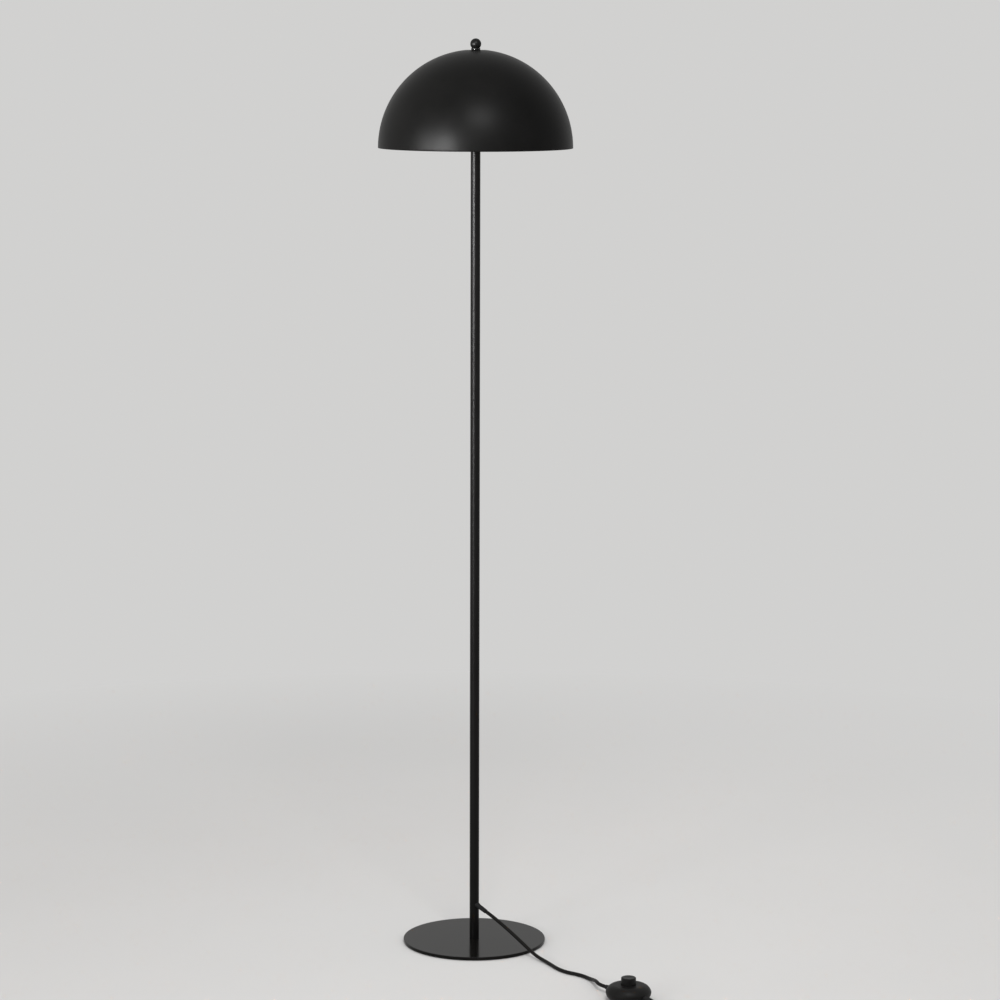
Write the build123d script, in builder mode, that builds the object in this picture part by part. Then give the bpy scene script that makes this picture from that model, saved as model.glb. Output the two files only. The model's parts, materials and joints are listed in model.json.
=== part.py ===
from build123d import *
import math
import os

# Mushroom floor lamp: a hemispherical metal shade on a plain tube that stands on a
# round steel disc, with its mains lead, round foot switch, wound lead end and flat plug.
# Millimetres, +Z up, the origin at the middle of the base's underside on the floor,
# and -Y towards someone who looks at the lamp.

# Clearances
fit_gap = 0.05  # radial, between parts that are pressed or screwed together
running_gap = 0.05  # radial, between parts that turn or slide on each other
stop_gap = 0.3  # between a moving part and the face that stops it
seat_gap = 0.1  # under the finial and its washer

# Base
base_diameter = 240.0
base_thickness = 5.0
base_edge_chamfer = 0.7
pad_thickness = 0.8
pad_inset = 4.0
pad_hole_diameter = 22.0
base_top = pad_thickness + base_thickness

# Screw that holds the pole on the base
screw_diameter = 8.0
screw_head_diameter = 15.0
screw_head_depth = 3.5
screw_length = 24.0
screw_key_size = 5.0
screw_key_depth = 2.4

# Pole
pole_diameter = 16.0
pole_wall = 1.0
thread_end_chamfer = 0.5
arc_share = 0.45
section_length = 444.0
section_count = 3
foot_insert_length = 30.0
joint_thread_diameter = 10.0
joint_engagement = 18.0
joint_socket_length = 22.0
joint_stud_seat = 15.0
wire_way_diameter = 7.0
top_bush_length = 20.0
pole_radius = pole_diameter / 2
pole_bore = pole_diameter - 2 * pole_wall
plug_radius = pole_bore / 2 - fit_gap
pole_top = base_top + section_count * section_length

# Mains lead and where it leaves the pole
lead_diameter = 6.0
exit_height = 66.0
exit_azimuth = -46.0
exit_slope = 18.0
gland_stem_diameter = 9.0
gland_flange_diameter = 11.5
gland_flange_thickness = 2.0
gland_tip_diameter = 7.4
gland_length = 22.0
inner_bend_radius = 8.0

# Saddle, nut and harp
nipple_diameter = 10.0
nipple_grip = 16.0
saddle_thickness = 1.5
saddle_width = 14.0
nut_thickness = 3.0
nut_across_flats = 14.0
harp_wire_diameter = 4.0
harp_half_width = 28.0
harp_rise = 154.1
harp_corner_radius = 20.0
harp_socket_diameter = 8.0
harp_socket_height = 12.0
harp_block_diameter = 12.0
harp_block_height = 8.0
saddle_top = pole_top + saddle_thickness
harp_top = saddle_top + harp_rise

# Lampholder
cap_base_diameter = 25.0
holder_diameter = 39.0
holder_wall = 2.0
cap_height = 24.0
cap_boss_height = 10.0
cap_boss_diameter = 16.0
cap_shoulder_height = 8.0
body_height = 34.0
body_lip_thickness = 2.0
body_lip_radius = 15.0
core_height = 12.0
core_overlap = 4.0
thread_shell_radius = 13.5
thread_shell_wall = 0.5
thread_shell_height = 22.0
contact_thickness = 0.6
contact_width = 6.0
terminal_screw_diameter = 3.0
terminal_head_diameter = 5.0
terminal_head_height = 2.0
terminal_screw_length = 7.0
terminal_offset = 9.0
core_wire_diameter = 2.0
core_wire_offset = 1.4
core_wire_bend = 1.4
core_wire_rise = 1.2
core_wire_drop = 1.6
holder_base = saddle_top + nut_thickness
cap_top = holder_base + cap_height
holder_radius = holder_diameter / 2
core_base = cap_top - core_overlap
core_top = core_base + core_height
holder_rim = cap_top + body_height

# Bulb
bulb_diameter = 45.0
bulb_wall = 0.8
bulb_cap_height = 26.0
bulb_cap_wall = 0.4
bulb_thread_radius = 13.1
bulb_thread_depth = 0.9
bulb_thread_pitch = 3.62
bulb_thread_turns = 4
bulb_neck_radius = 11.3
bulb_height = 49.0
bulb_tip_lift = 2.5
bulb_tip_radius = 4.8
bulb_tip_thickness = 1.0
bulb_shoulder_height = 5.0
bulb_shoulder_inset = 2.6
bulb_thread_run_in = 2.5
bulb_thread_shares = (0.27, 0.47, 0.74)
bulb_tip_chamfer = 0.4
neck_overlap = 3.0
stem_waist_rise = 9.0
filament_end_gap = 1.5
support_hub_height = 1.2
support_hub_wall = 0.4
stem_radius = 2.0
stem_height = 38.0
filament_count = 4
filament_diameter = 1.6
filament_low_radius = 3.6
filament_high_radius = 9.0
support_wire_diameter = 0.8
bulb_tip_z = core_top + bulb_tip_lift
bulb_rim_z = bulb_tip_z + bulb_cap_height
bulb_top_z = bulb_rim_z + bulb_height
bulb_centre_z = bulb_top_z - bulb_diameter / 2

# Shade, its washers and the finial
shade_diameter = 320.0
shade_wall = 1.0
crown_radius = 16.0
stud_diameter = 6.0
stud_hole_diameter = 7.0
shade_washer_diameter = 22.0
shade_washer_thickness = 1.2
finial_washer_diameter = 14.8
finial_washer_thickness = 3.0
finial_diameter = 18.0
finial_foot_radius = 6.2
finial_bore_depth = 10.4
finial_washer_chamfer = 0.4
stud_reach = 9.0
harp_block_top = harp_top + harp_block_height / 2
shade_under = harp_block_top + shade_washer_thickness
crown_z = shade_under + shade_wall
shade_radius = shade_diameter / 2
crown_rise = math.sqrt(shade_radius**2 - crown_radius**2)
rim_z = crown_z - crown_rise
finial_washer_base = crown_z + seat_gap
finial_base = finial_washer_base + finial_washer_thickness + seat_gap
stud_top = finial_base + stud_reach

# Foot switch, a round case of two shells with a round push button
switch_x = 249.0
switch_y = -335.5
switch_azimuth = -47.0
switch_radius = 36.5
switch_foot_radius = 28.0
switch_foot_height = 1.0
switch_height = 26.5
switch_band_low = 12.5
switch_band_high = 15.0
switch_wall = 2.2
switch_roof_radius = 22.0
roof_drop = 0.5
switch_belly_bulge = (5.6, 5.0)
switch_shoulder_bulge = (4.4, 3.8)
switch_shoulder_thinning = (0.5, 3.7, 1.6)
switch_belly_thinning = (1.9, 4.4, 1.5)
switch_root = 0.5
lead_height = 10.5
button_diameter = 24.0
button_wall = 2.0
button_top_thickness = 2.5
button_height = 38.0
button_hole_gap = 0.35
button_flange_diameter = 28.0
button_flange_thickness = 2.0
button_round = 1.4
button_travel = 3.5
plunger_diameter = 9.0
plunger_tip_gap = 0.5
spring_diameter = 17.0
spring_wire = 1.2
spring_turns = 6
well_radius = 7.2
block_radius = 15.0
block_height = 5.8
rotor_gap = 0.35
rotor_pin_diameter = 3.0
rotor_height = 4.7
rotor_pin_reach = 0.3
contact_bar_turn = -45.0
contact_bar_width = 4.6
contact_bar_thickness = 1.0
contact_bar_lift = 1.1
terminal_x = 18.5
terminal_length = 6.0
terminal_width = 7.0
terminal_rise = 3.5
neutral_route_y = 16.5
clamp_x = 28.0
clamp_length = 5.0
clamp_span = 18.0
clamp_corner = 1.5
clamp_bed_length = 3.0
plunger_chamfer = 0.6
clamp_thickness = 2.5
small_screw_diameter = 2.5
small_head_diameter = 4.6
small_head_height = 1.6
small_screw_length = 9.0
clamp_screw_offset = 6.5
case_screw_offset = 23.5
case_screw_diameter = 3.0
case_head_diameter = 6.0
case_head_height = 2.0
case_screw_recess = 1.0
case_screw_length = 15.0
post_diameter = 7.0
rubber_foot_diameter = 8.0
rubber_foot_sink = 0.5
rubber_foot_circle = 21.0
relief_diameter = 9.0
relief_tip_diameter = 7.2
relief_inner_x = 31.0
relief_taper_x = 37.5
relief_tip_x = 51.0
neutral_bend = 1.2
neutral_sweep = (4.0, 5.0)
neutral_side = (0.3, 0.2, -10.0)
neutral_middle_x = 12.0
live_wire_seat = 1.2
sheath_end_x = 24.5
switch_floor = switch_foot_height + switch_wall
roof_under = switch_height - switch_wall
button_flange_top = roof_under - stop_gap
button_inner_top = button_height - button_top_thickness
block_top = switch_floor + block_height
rotor_base = switch_floor + stop_gap
rotor_top = rotor_base + rotor_height
rotor_radius = well_radius - rotor_gap
contact_base = rotor_base + contact_bar_lift
plunger_tip = rotor_top + button_travel + plunger_tip_gap

# Lead on the floor: chosen points from the pole to the switch and on to the coil
lead_radius = lead_diameter / 2
gland_run = 18.0
switch_run = 15.0
upper_points = [
    (51.5, -53.5, 40.0),
    (72.0, -75.0, 27.0),
    (91.4, -95.0, 13.6),
    (105.0, -112.5, 5.8),
    (121.5, -138.0, 3.0),
    (145.6, -185.5, 3.0),
    (175.4, -209.5, 3.0),
    (188.5, -229.5, 3.2),
    (192.8, -251.0, 5.0),
    (196.8, -273.0, 8.3),
]
lower_points = [
    (304.6, -396.4, 7.0),
]
coil_run = 14.0
coil_x = 291.2
coil_y = -448.3
coil_start_angle = 35.0
coil_outer_radius = 41.2
coil_pitch = 6.7
coil_layer_height = 6.6
coil_lift = 1.2
coil_half_turns_in = 5
tail_run = 16.0
tail_points = [
    (226.0, -448.0, 8.4),
]

# Strap round the coil
tie_width = 9.0
tie_thickness = 0.9
tie_gap = 0.3
tie_slack = 1.8
tie_corner = 1.6
tie_inner_corner = 0.7

# Flat two-pin plug that lies beside the coil
plug_x = 194.0
plug_y = -446.5
plug_azimuth = 182.0
plug_width = 35.3
plug_thickness = 13.7
plug_front_length = 13.0
plug_taper_length = 22.0
plug_back_width = 14.0
plug_back_thickness = 11.0
plug_corner = 5.4
plug_edge_round = 1.0
plug_back_relax = 0.3
pin_tip_flat = 0.4
plug_relief_length = 26.0
plug_relief_diameter = 9.6
plug_relief_tip_diameter = 7.2
pin_spacing = 18.6
pin_diameter = 4.0
pin_length = 19.0
pin_sleeve_length = 10.0
pin_sleeve_diameter = 4.0
pin_core_diameter = 3.0
pin_root = 8.0

os.makedirs("parts", exist_ok=True)


def around(angle, radius, height=0.0):
    """A point at an angle in degrees and a radius round the Z axis."""
    turn = math.radians(angle)
    return (radius * math.cos(turn), radius * math.sin(turn), height)


def turned(plane, *outline):
    """A closed outline of (radius, height) points, drawn on a plane that holds the axis."""
    with BuildSketch(plane) as profile:
        with BuildLine():
            Polyline(*outline, close=True)
        make_face()
    return profile.sketch


def corner_radii(points):
    """As large an arc at each corner of a lead's route as its two runs allow."""
    radii = []
    for before, corner, after in zip(points, points[1:], points[2:]):
        run_in = Vector(*corner) - Vector(*before)
        run_out = Vector(*after) - Vector(*corner)
        half_turn = math.radians(run_in.get_angle(run_out)) / 2
        radii.append(arc_share * min(run_in.length, run_out.length) / math.tan(half_turn))
    return radii


def lead_path(title, points):
    """Straight runs joined by tangent arcs, with the arcs' radii printed."""
    radii = corner_radii(points)
    with BuildLine() as route:
        FilletPolyline(*points, radius=radii)
    path = route.wire()
    print(title, "length", round(path.length, 1), "radii", [round(r, 1) for r in radii])
    return path


def start_plane(path):
    """The plane that is square to a path at its start."""
    return Plane(path @ 0, z_dir=path % 0)


def check_tube(title, part, path, radius=lead_radius):
    """Compares a tube's volume with its section times its length."""
    print(title, "volume ratio", round(part.volume / (math.pi * radius**2 * path.length), 4))


lamp_side = Plane.XZ
lead_out = Vector(*around(exit_azimuth, math.cos(math.radians(exit_slope))))
lead_out = lead_out - Vector(0, 0, math.sin(math.radians(exit_slope)))
exit_plane = Plane((0, 0, exit_height), z_dir=lead_out)

# Base disc of steel plate, countersunk from below
with BuildPart() as base_plate:
    cone_top = pad_thickness + screw_head_depth
    revolve(
        turned(
            lamp_side,
            (screw_diameter / 2 + fit_gap, base_top),
            (base_diameter / 2 - base_edge_chamfer, base_top),
            (base_diameter / 2, base_top - base_edge_chamfer),
            (base_diameter / 2, pad_thickness + base_edge_chamfer),
            (base_diameter / 2 - base_edge_chamfer, pad_thickness),
            (screw_head_diameter / 2 + fit_gap, pad_thickness),
            (screw_diameter / 2 + fit_gap, cone_top),
        ),
        axis=Axis.Z,
    )
base_plate.part.label = "base_plate"

# Thin foam pad under the disc
with BuildPart() as base_pad:
    with BuildSketch():
        Circle(base_diameter / 2 - pad_inset)
        Circle(pad_hole_diameter / 2, mode=Mode.SUBTRACT)
    extrude(amount=pad_thickness)
base_pad.part.label = "base_pad"

# Countersunk screw with a hexagon socket
with BuildPart() as base_screw:
    revolve(
        turned(
            lamp_side,
            (0, pad_thickness),
            (screw_head_diameter / 2, pad_thickness),
            (screw_diameter / 2, cone_top),
            (screw_diameter / 2, pad_thickness + screw_length - 1),
            (screw_diameter / 2 - 1, pad_thickness + screw_length),
            (0, pad_thickness + screw_length),
        ),
        axis=Axis.Z,
    )
    with BuildSketch(Plane.XY.offset(pad_thickness)):
        RegularPolygon(screw_key_size / 2, 6, major_radius=False)
    extrude(amount=screw_key_depth, mode=Mode.SUBTRACT)
base_screw.part.label = "base_screw"


def ring(low, high, outer, inner):
    """A plain ring round the lamp's axis, as a sketch to turn."""
    return turned(lamp_side, (inner, low), (outer, low), (outer, high), (inner, high))


# Threaded insert pressed into the foot of the pole
with BuildPart() as pole_foot_insert:
    revolve(
        ring(base_top, base_top + foot_insert_length, plug_radius, screw_diameter / 2 + fit_gap),
        axis=Axis.Z,
    )
    chamfer(pole_foot_insert.faces().sort_by(Axis.Z)[-1].edges(), thread_end_chamfer)
pole_foot_insert.part.label = "pole_foot_insert"

# Three equal lengths of tube, of which the lowest has the hole for the lead
section_names = ["pole_lower", "pole_middle", "pole_upper"]
pole_sections = []
for index, name in enumerate(section_names):
    section_base = base_top + index * section_length
    with BuildPart() as pole_section:
        revolve(
            ring(section_base, section_base + section_length, pole_radius, pole_bore / 2),
            axis=Axis.Z,
        )
        if index == 0:
            with BuildSketch(exit_plane):
                Circle(gland_stem_diameter / 2 + fit_gap)
            extrude(amount=pole_diameter, mode=Mode.SUBTRACT)
    pole_section.part.label = name
    pole_sections.append(pole_section.part)

# Threaded sockets in the tops of the lower two sections, and hollow studs above them
seams = [base_top + (index + 1) * section_length for index in range(section_count - 1)]
with BuildPart() as pole_sockets:
    for seam in seams:
        revolve(
            ring(
                seam - joint_socket_length,
                seam,
                plug_radius,
                joint_thread_diameter / 2 + fit_gap,
            ),
            axis=Axis.Z,
        )
pole_sockets.part.label = "pole_sockets"

with BuildPart() as pole_studs:
    for seam in seams:
        revolve(
            turned(
                lamp_side,
                (wire_way_diameter / 2, seam - joint_engagement),
                (joint_thread_diameter / 2, seam - joint_engagement),
                (joint_thread_diameter / 2, seam),
                (plug_radius, seam),
                (plug_radius, seam + joint_stud_seat),
                (wire_way_diameter / 2, seam + joint_stud_seat),
            ),
            axis=Axis.Z,
        )
pole_studs.part.label = "pole_studs"

# Threaded bush in the pole's top, and the hollow nipple that clamps the fittings to it
with BuildPart() as pole_top_bush:
    revolve(
        ring(pole_top - top_bush_length, pole_top, plug_radius, nipple_diameter / 2 + fit_gap),
        axis=Axis.Z,
    )
pole_top_bush.part.label = "pole_top_bush"

with BuildPart() as top_nipple:
    revolve(
        ring(
            pole_top - nipple_grip,
            holder_base + cap_boss_height - 1,
            nipple_diameter / 2,
            wire_way_diameter / 2,
        ),
        axis=Axis.Z,
    )
    nipple_ends = top_nipple.edges().filter_by(GeomType.CIRCLE).group_by(SortBy.RADIUS)[-1]
    chamfer(nipple_ends, thread_end_chamfer)
top_nipple.part.label = "top_nipple"

# Tapered strain relief in the side of the pole, shaped to sit on the tube
with BuildPart() as cable_gland:
    flange_face = pole_radius + gland_flange_thickness
    with BuildSketch(exit_plane.offset(pole_radius / 2)):
        Circle(gland_flange_diameter / 2)
    extrude(amount=flange_face - pole_radius / 2)
    with BuildSketch(exit_plane.offset(flange_face)):
        Circle(gland_stem_diameter / 2)
    with BuildSketch(exit_plane.offset(pole_radius + gland_length)):
        Circle(gland_tip_diameter / 2)
    loft()
    Cylinder(
        pole_radius + fit_gap,
        2 * exit_height,
        align=(Align.CENTER, Align.CENTER, Align.MIN),
        mode=Mode.SUBTRACT,
    )
    with BuildSketch(exit_plane.offset(pole_bore / 2 - 1)):
        Circle(gland_stem_diameter / 2)
    extrude(amount=flange_face - pole_bore / 2 + 1)
    with BuildSketch(exit_plane):
        Circle(lead_radius + fit_gap)
    extrude(amount=2 * gland_length, mode=Mode.SUBTRACT)
cable_gland.part.label = "cable_gland"

# The lead inside the lamp: in at the gland, round a tight bend and up to the lampholder
gland_tip = exit_plane.origin + lead_out * (pole_radius + gland_length)
lead_top = holder_base + cap_boss_height + 1
with BuildLine() as inner_route:
    FilletPolyline(
        gland_tip,
        (0, 0, exit_height),
        (0, 0, lead_top),
        radius=inner_bend_radius,
    )
with BuildPart() as inner_cable:
    with BuildSketch(start_plane(inner_route.wire())):
        Circle(lead_radius)
    sweep(path=inner_route.wire())
inner_cable.part.label = "inner_cable"
check_tube("inner_cable", inner_cable.part, inner_route.wire())

# Saddle with its two sockets, the nut that clamps it, and the wire harp
with BuildPart() as harp_saddle:
    with BuildSketch(Plane.XY.offset(pole_top)):
        SlotCenterToCenter(2 * harp_half_width, saddle_width)
        Circle(nipple_diameter / 2 + fit_gap, mode=Mode.SUBTRACT)
    extrude(amount=saddle_thickness)
    with BuildSketch(Plane.XY.offset(saddle_top)):
        with Locations((-harp_half_width, 0), (harp_half_width, 0)):
            Circle(harp_socket_diameter / 2)
            Circle(harp_wire_diameter / 2 + fit_gap, mode=Mode.SUBTRACT)
    extrude(amount=harp_socket_height)
harp_saddle.part.label = "harp_saddle"

with BuildPart() as saddle_nut:
    with BuildSketch(Plane.XY.offset(saddle_top)):
        RegularPolygon(nut_across_flats / 2, 6, major_radius=False)
        Circle(nipple_diameter / 2 + fit_gap, mode=Mode.SUBTRACT)
    extrude(amount=nut_thickness)
saddle_nut.part.label = "saddle_nut"

with BuildPart() as harp:
    with BuildLine() as harp_route:
        FilletPolyline(
            (-harp_half_width, 0, saddle_top),
            (-harp_half_width, 0, harp_top),
            (harp_half_width, 0, harp_top),
            (harp_half_width, 0, saddle_top),
            radius=harp_corner_radius,
        )
    with BuildSketch(start_plane(harp_route.wire())):
        Circle(harp_wire_diameter / 2)
    sweep()
harp.part.label = "harp"

# Block crimped on the harp's top, with the threaded stud that goes through the shade
with BuildPart() as harp_stud:
    with BuildSketch(Plane.XY.offset(harp_top - harp_block_height / 2)):
        Circle(harp_block_diameter / 2)
    extrude(amount=harp_block_height)
    with BuildSketch(Plane.XY.offset(harp_block_top)):
        Circle(stud_diameter / 2)
    extrude(amount=stud_top - harp_block_top)
    chamfer(harp_stud.faces().sort_by(Axis.Z)[-1].edges(), thread_end_chamfer)
    with BuildSketch(Plane.YZ):
        with Locations((0, harp_top)):
            Circle(harp_wire_diameter / 2 + fit_gap)
    extrude(amount=harp_block_diameter, both=True, mode=Mode.SUBTRACT)
harp_stud.part.label = "harp_stud"

# Lampholder: cap, body, insulating core, thread shell, contacts, terminal screws and wires
with BuildPart() as holder_cap:
    revolve(
        turned(
            lamp_side,
            (nipple_diameter / 2 + fit_gap, holder_base),
            (cap_base_diameter / 2, holder_base),
            (holder_radius, holder_base + cap_shoulder_height),
            (holder_radius, cap_top),
            (holder_radius - holder_wall, cap_top),
            (holder_radius - holder_wall, core_base),
            (holder_radius - 2 * holder_wall, core_base),
            (holder_radius - 2 * holder_wall, holder_base + cap_shoulder_height + 1),
            (cap_base_diameter / 2 - holder_wall, holder_base + holder_wall),
            (cap_boss_diameter / 2, holder_base + holder_wall),
            (cap_boss_diameter / 2, holder_base + cap_boss_height),
            (nipple_diameter / 2 + fit_gap, holder_base + cap_boss_height),
        ),
        axis=Axis.Z,
    )
holder_cap.part.label = "holder_cap"

with BuildPart() as holder_body:
    revolve(
        turned(
            lamp_side,
            (holder_radius - holder_wall, cap_top),
            (holder_radius, cap_top),
            (holder_radius, holder_rim - 1),
            (holder_radius - 1, holder_rim),
            (body_lip_radius, holder_rim),
            (body_lip_radius, holder_rim - body_lip_thickness),
            (holder_radius - holder_wall, holder_rim - body_lip_thickness),
        ),
        axis=Axis.Z,
    )
holder_body.part.label = "holder_body"

terminal_spots = [(-terminal_offset, 0), (terminal_offset, 0)]
with BuildPart() as holder_core:
    with BuildSketch(Plane.XY.offset(core_base)):
        Circle(holder_radius - holder_wall - fit_gap)
    extrude(amount=core_height)
    with BuildSketch(Plane.XY.offset(core_base)):
        with Locations(*terminal_spots):
            Circle(terminal_screw_diameter / 2 + fit_gap)
    extrude(amount=terminal_screw_length, mode=Mode.SUBTRACT)
holder_core.part.label = "holder_core"

with BuildPart() as holder_thread_shell:
    revolve(
        ring(
            core_top,
            core_top + thread_shell_height,
            thread_shell_radius + thread_shell_wall,
            thread_shell_radius,
        ),
        axis=Axis.Z,
    )
holder_thread_shell.part.label = "holder_thread_shell"

# A tongue under the bulb's tip and a strip that reaches the thread shell
tongue_root = -10.0
tongue_bend = -4.0
tongue_end = 2.5
strip_root = 8.0
strip_height = 6.0
strip_x = math.sqrt(thread_shell_radius**2 - (contact_width / 2) ** 2) - 2 * fit_gap
with BuildPart() as holder_contacts:
    with BuildSketch(lamp_side):
        with BuildLine():
            Polyline(
                (tongue_root, core_top),
                (tongue_bend, core_top),
                (tongue_end, bulb_tip_z - contact_thickness),
                (tongue_end, bulb_tip_z),
                (tongue_bend, core_top + contact_thickness),
                (tongue_root, core_top + contact_thickness),
                close=True,
            )
        make_face()
        with BuildLine():
            Polyline(
                (strip_root, core_top),
                (strip_x, core_top),
                (strip_x, core_top + strip_height),
                (strip_x - contact_thickness, core_top + strip_height),
                (strip_x - contact_thickness, core_top + contact_thickness),
                (strip_root, core_top + contact_thickness),
                close=True,
            )
        make_face()
    extrude(amount=contact_width / 2, both=True)
holder_contacts.part.label = "holder_contacts"

with BuildPart() as holder_terminal_screws:
    with BuildSketch(Plane.XY.offset(core_base - terminal_head_height)):
        with Locations(*terminal_spots):
            Circle(terminal_head_diameter / 2)
    extrude(amount=terminal_head_height)
    with BuildSketch(Plane.XY.offset(core_base)):
        with Locations(*terminal_spots):
            Circle(terminal_screw_diameter / 2)
    extrude(amount=terminal_screw_length - fit_gap)
holder_terminal_screws.part.label = "holder_terminal_screws"

wire_end = core_base - terminal_head_height
with BuildPart() as holder_wires:
    for side in (-1, 1):
        with BuildLine() as wire_route:
            FilletPolyline(
                (side * core_wire_offset, 0, lead_top),
                (side * core_wire_offset, 0, lead_top + core_wire_bend + core_wire_rise),
                (side * terminal_offset, 0, wire_end - core_wire_bend - core_wire_drop),
                (side * terminal_offset, 0, wire_end),
                radius=core_wire_bend,
            )
        with BuildSketch(start_plane(wire_route.wire())):
            Circle(core_wire_diameter / 2)
        sweep(path=wire_route.wire())
holder_wires.part.label = "holder_wires"

# Bulb: threaded cap, insulator, tip, glass, stem, filaments and their support
thread_root = bulb_thread_radius - bulb_thread_depth
thread_start = bulb_tip_z + bulb_shoulder_height + bulb_thread_run_in
cap_inside = thread_root - bulb_cap_wall
shoulder_radius = thread_root - bulb_shoulder_inset
crest_start, crest_end, flank_end = bulb_thread_shares
shoulder_z = bulb_tip_z + bulb_shoulder_height
thread_outline = []
for index in range(bulb_thread_turns):
    thread_z = thread_start + index * bulb_thread_pitch
    thread_outline += [
        (thread_root, thread_z),
        (bulb_thread_radius, thread_z + crest_start * bulb_thread_pitch),
        (bulb_thread_radius, thread_z + crest_end * bulb_thread_pitch),
        (thread_root, thread_z + flank_end * bulb_thread_pitch),
    ]
with BuildPart() as bulb_cap:
    revolve(
        turned(
            lamp_side,
            (shoulder_radius, shoulder_z),
            *thread_outline,
            (thread_root, bulb_rim_z),
            (cap_inside, bulb_rim_z),
            (cap_inside, thread_start),
            (shoulder_radius - bulb_cap_wall, shoulder_z + bulb_cap_wall),
            (shoulder_radius - bulb_cap_wall, shoulder_z),
        ),
        axis=Axis.Z,
    )
bulb_cap.part.label = "bulb_cap"

with BuildPart() as bulb_insulator:
    revolve(
        turned(
            lamp_side,
            (0, bulb_tip_z + bulb_tip_thickness),
            (bulb_tip_radius, bulb_tip_z + bulb_tip_thickness),
            (shoulder_radius, shoulder_z),
            (0, shoulder_z),
        ),
        axis=Axis.Z,
    )
bulb_insulator.part.label = "bulb_insulator"

with BuildPart() as bulb_tip:
    with BuildSketch(Plane.XY.offset(bulb_tip_z)):
        Circle(bulb_tip_radius)
    extrude(amount=bulb_tip_thickness)
    chamfer(bulb_tip.faces().sort_by(Axis.Z)[0].edges(), bulb_tip_chamfer)
bulb_tip.part.label = "bulb_tip"

neck_base = bulb_rim_z - neck_overlap
ball_radius = bulb_diameter / 2
inside_radius = ball_radius - bulb_wall
neck_inside = bulb_neck_radius - bulb_wall
neck_z = bulb_centre_z - math.sqrt(ball_radius**2 - bulb_neck_radius**2)
neck_inside_z = bulb_centre_z - math.sqrt(inside_radius**2 - neck_inside**2)
with BuildPart() as bulb_glass:
    with BuildSketch(lamp_side):
        with BuildLine():
            Line((bulb_neck_radius, neck_base), (bulb_neck_radius, neck_z))
            ThreePointArc(
                (bulb_neck_radius, neck_z), (ball_radius, bulb_centre_z), (0, bulb_top_z)
            )
            Line((0, bulb_top_z), (0, bulb_top_z - bulb_wall))
            ThreePointArc(
                (0, bulb_top_z - bulb_wall),
                (inside_radius, bulb_centre_z),
                (neck_inside, neck_inside_z),
            )
            Line((neck_inside, neck_inside_z), (neck_inside, neck_base))
            Line((neck_inside, neck_base), (bulb_neck_radius, neck_base))
        make_face()
    revolve(axis=Axis.Z)
bulb_glass.part.label = "bulb_glass"

stem_top = bulb_rim_z + stem_height
stem_waist = bulb_rim_z + stem_waist_rise
with BuildPart() as bulb_stem:
    revolve(
        turned(
            lamp_side,
            (0, neck_base + 1),
            (neck_inside - fit_gap, neck_base + 1),
            (neck_inside - fit_gap, neck_base + 2),
            (stem_radius + 1, stem_waist - 2),
            (stem_radius, stem_waist),
            (stem_radius, stem_top),
            (0, stem_top),
        ),
        axis=Axis.Z,
    )
bulb_stem.part.label = "bulb_stem"

filament_angles = [index * 360 / filament_count for index in range(filament_count)]
filament_low_z = stem_waist + filament_end_gap
filament_high_z = stem_top - filament_end_gap
with BuildPart() as bulb_filaments:
    for angle in filament_angles:
        foot = around(angle, filament_low_radius, filament_low_z)
        head = around(angle, filament_high_radius, filament_high_z)
        with BuildSketch(Plane(foot, z_dir=Vector(*head) - Vector(*foot))):
            Circle(filament_diameter / 2)
        extrude(amount=(Vector(*head) - Vector(*foot)).length)
bulb_filaments.part.label = "bulb_filaments"

with BuildPart() as bulb_support:
    with BuildSketch(Plane.XY.offset(stem_top)):
        Circle(stem_radius + support_hub_wall)
    extrude(amount=support_hub_height)
    for angle in filament_angles:
        hub_side = around(angle, stem_radius, stem_top + support_hub_height / 2)
        spoke = Vector(*around(angle, filament_high_radius, hub_side[2])) - Vector(*hub_side)
        with BuildSketch(Plane(hub_side, z_dir=spoke)):
            Circle(support_wire_diameter / 2)
        extrude(amount=spoke.length)
bulb_support.part.label = "bulb_support"

# Shade: a hemisphere of sheet metal with a small flat crown
inner_shade_radius = shade_radius - shade_wall
inner_crown_radius = math.sqrt(inner_shade_radius**2 - (shade_under - rim_z) ** 2)
outer_middle = around(45, shade_radius)
inner_middle = around(45, inner_shade_radius)
with BuildPart() as shade:
    with BuildSketch(lamp_side):
        with BuildLine():
            ThreePointArc(
                (shade_radius, rim_z),
                (outer_middle[0], rim_z + outer_middle[1]),
                (crown_radius, crown_z),
            )
            Polyline(
                (crown_radius, crown_z),
                (stud_hole_diameter / 2, crown_z),
                (stud_hole_diameter / 2, shade_under),
                (inner_crown_radius, shade_under),
            )
            ThreePointArc(
                (inner_crown_radius, shade_under),
                (inner_middle[0], rim_z + inner_middle[1]),
                (inner_shade_radius, rim_z),
            )
            Line((inner_shade_radius, rim_z), (shade_radius, rim_z))
        make_face()
    revolve(axis=Axis.Z)
shade.part.label = "shade"

with BuildPart() as shade_washer:
    revolve(
        ring(
            harp_block_top,
            shade_under,
            shade_washer_diameter / 2,
            stud_diameter / 2 + fit_gap,
        ),
        axis=Axis.Z,
    )
shade_washer.part.label = "shade_washer"

with BuildPart() as finial_washer:
    revolve(
        ring(
            finial_washer_base,
            finial_washer_base + finial_washer_thickness,
            finial_washer_diameter / 2,
            stud_diameter / 2 + running_gap,
        ),
        axis=Axis.Z,
    )
    washer_rims = finial_washer.edges().filter_by(GeomType.CIRCLE).group_by(SortBy.RADIUS)[-1]
    chamfer(washer_rims, finial_washer_chamfer)
finial_washer.part.label = "finial_washer"

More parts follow.
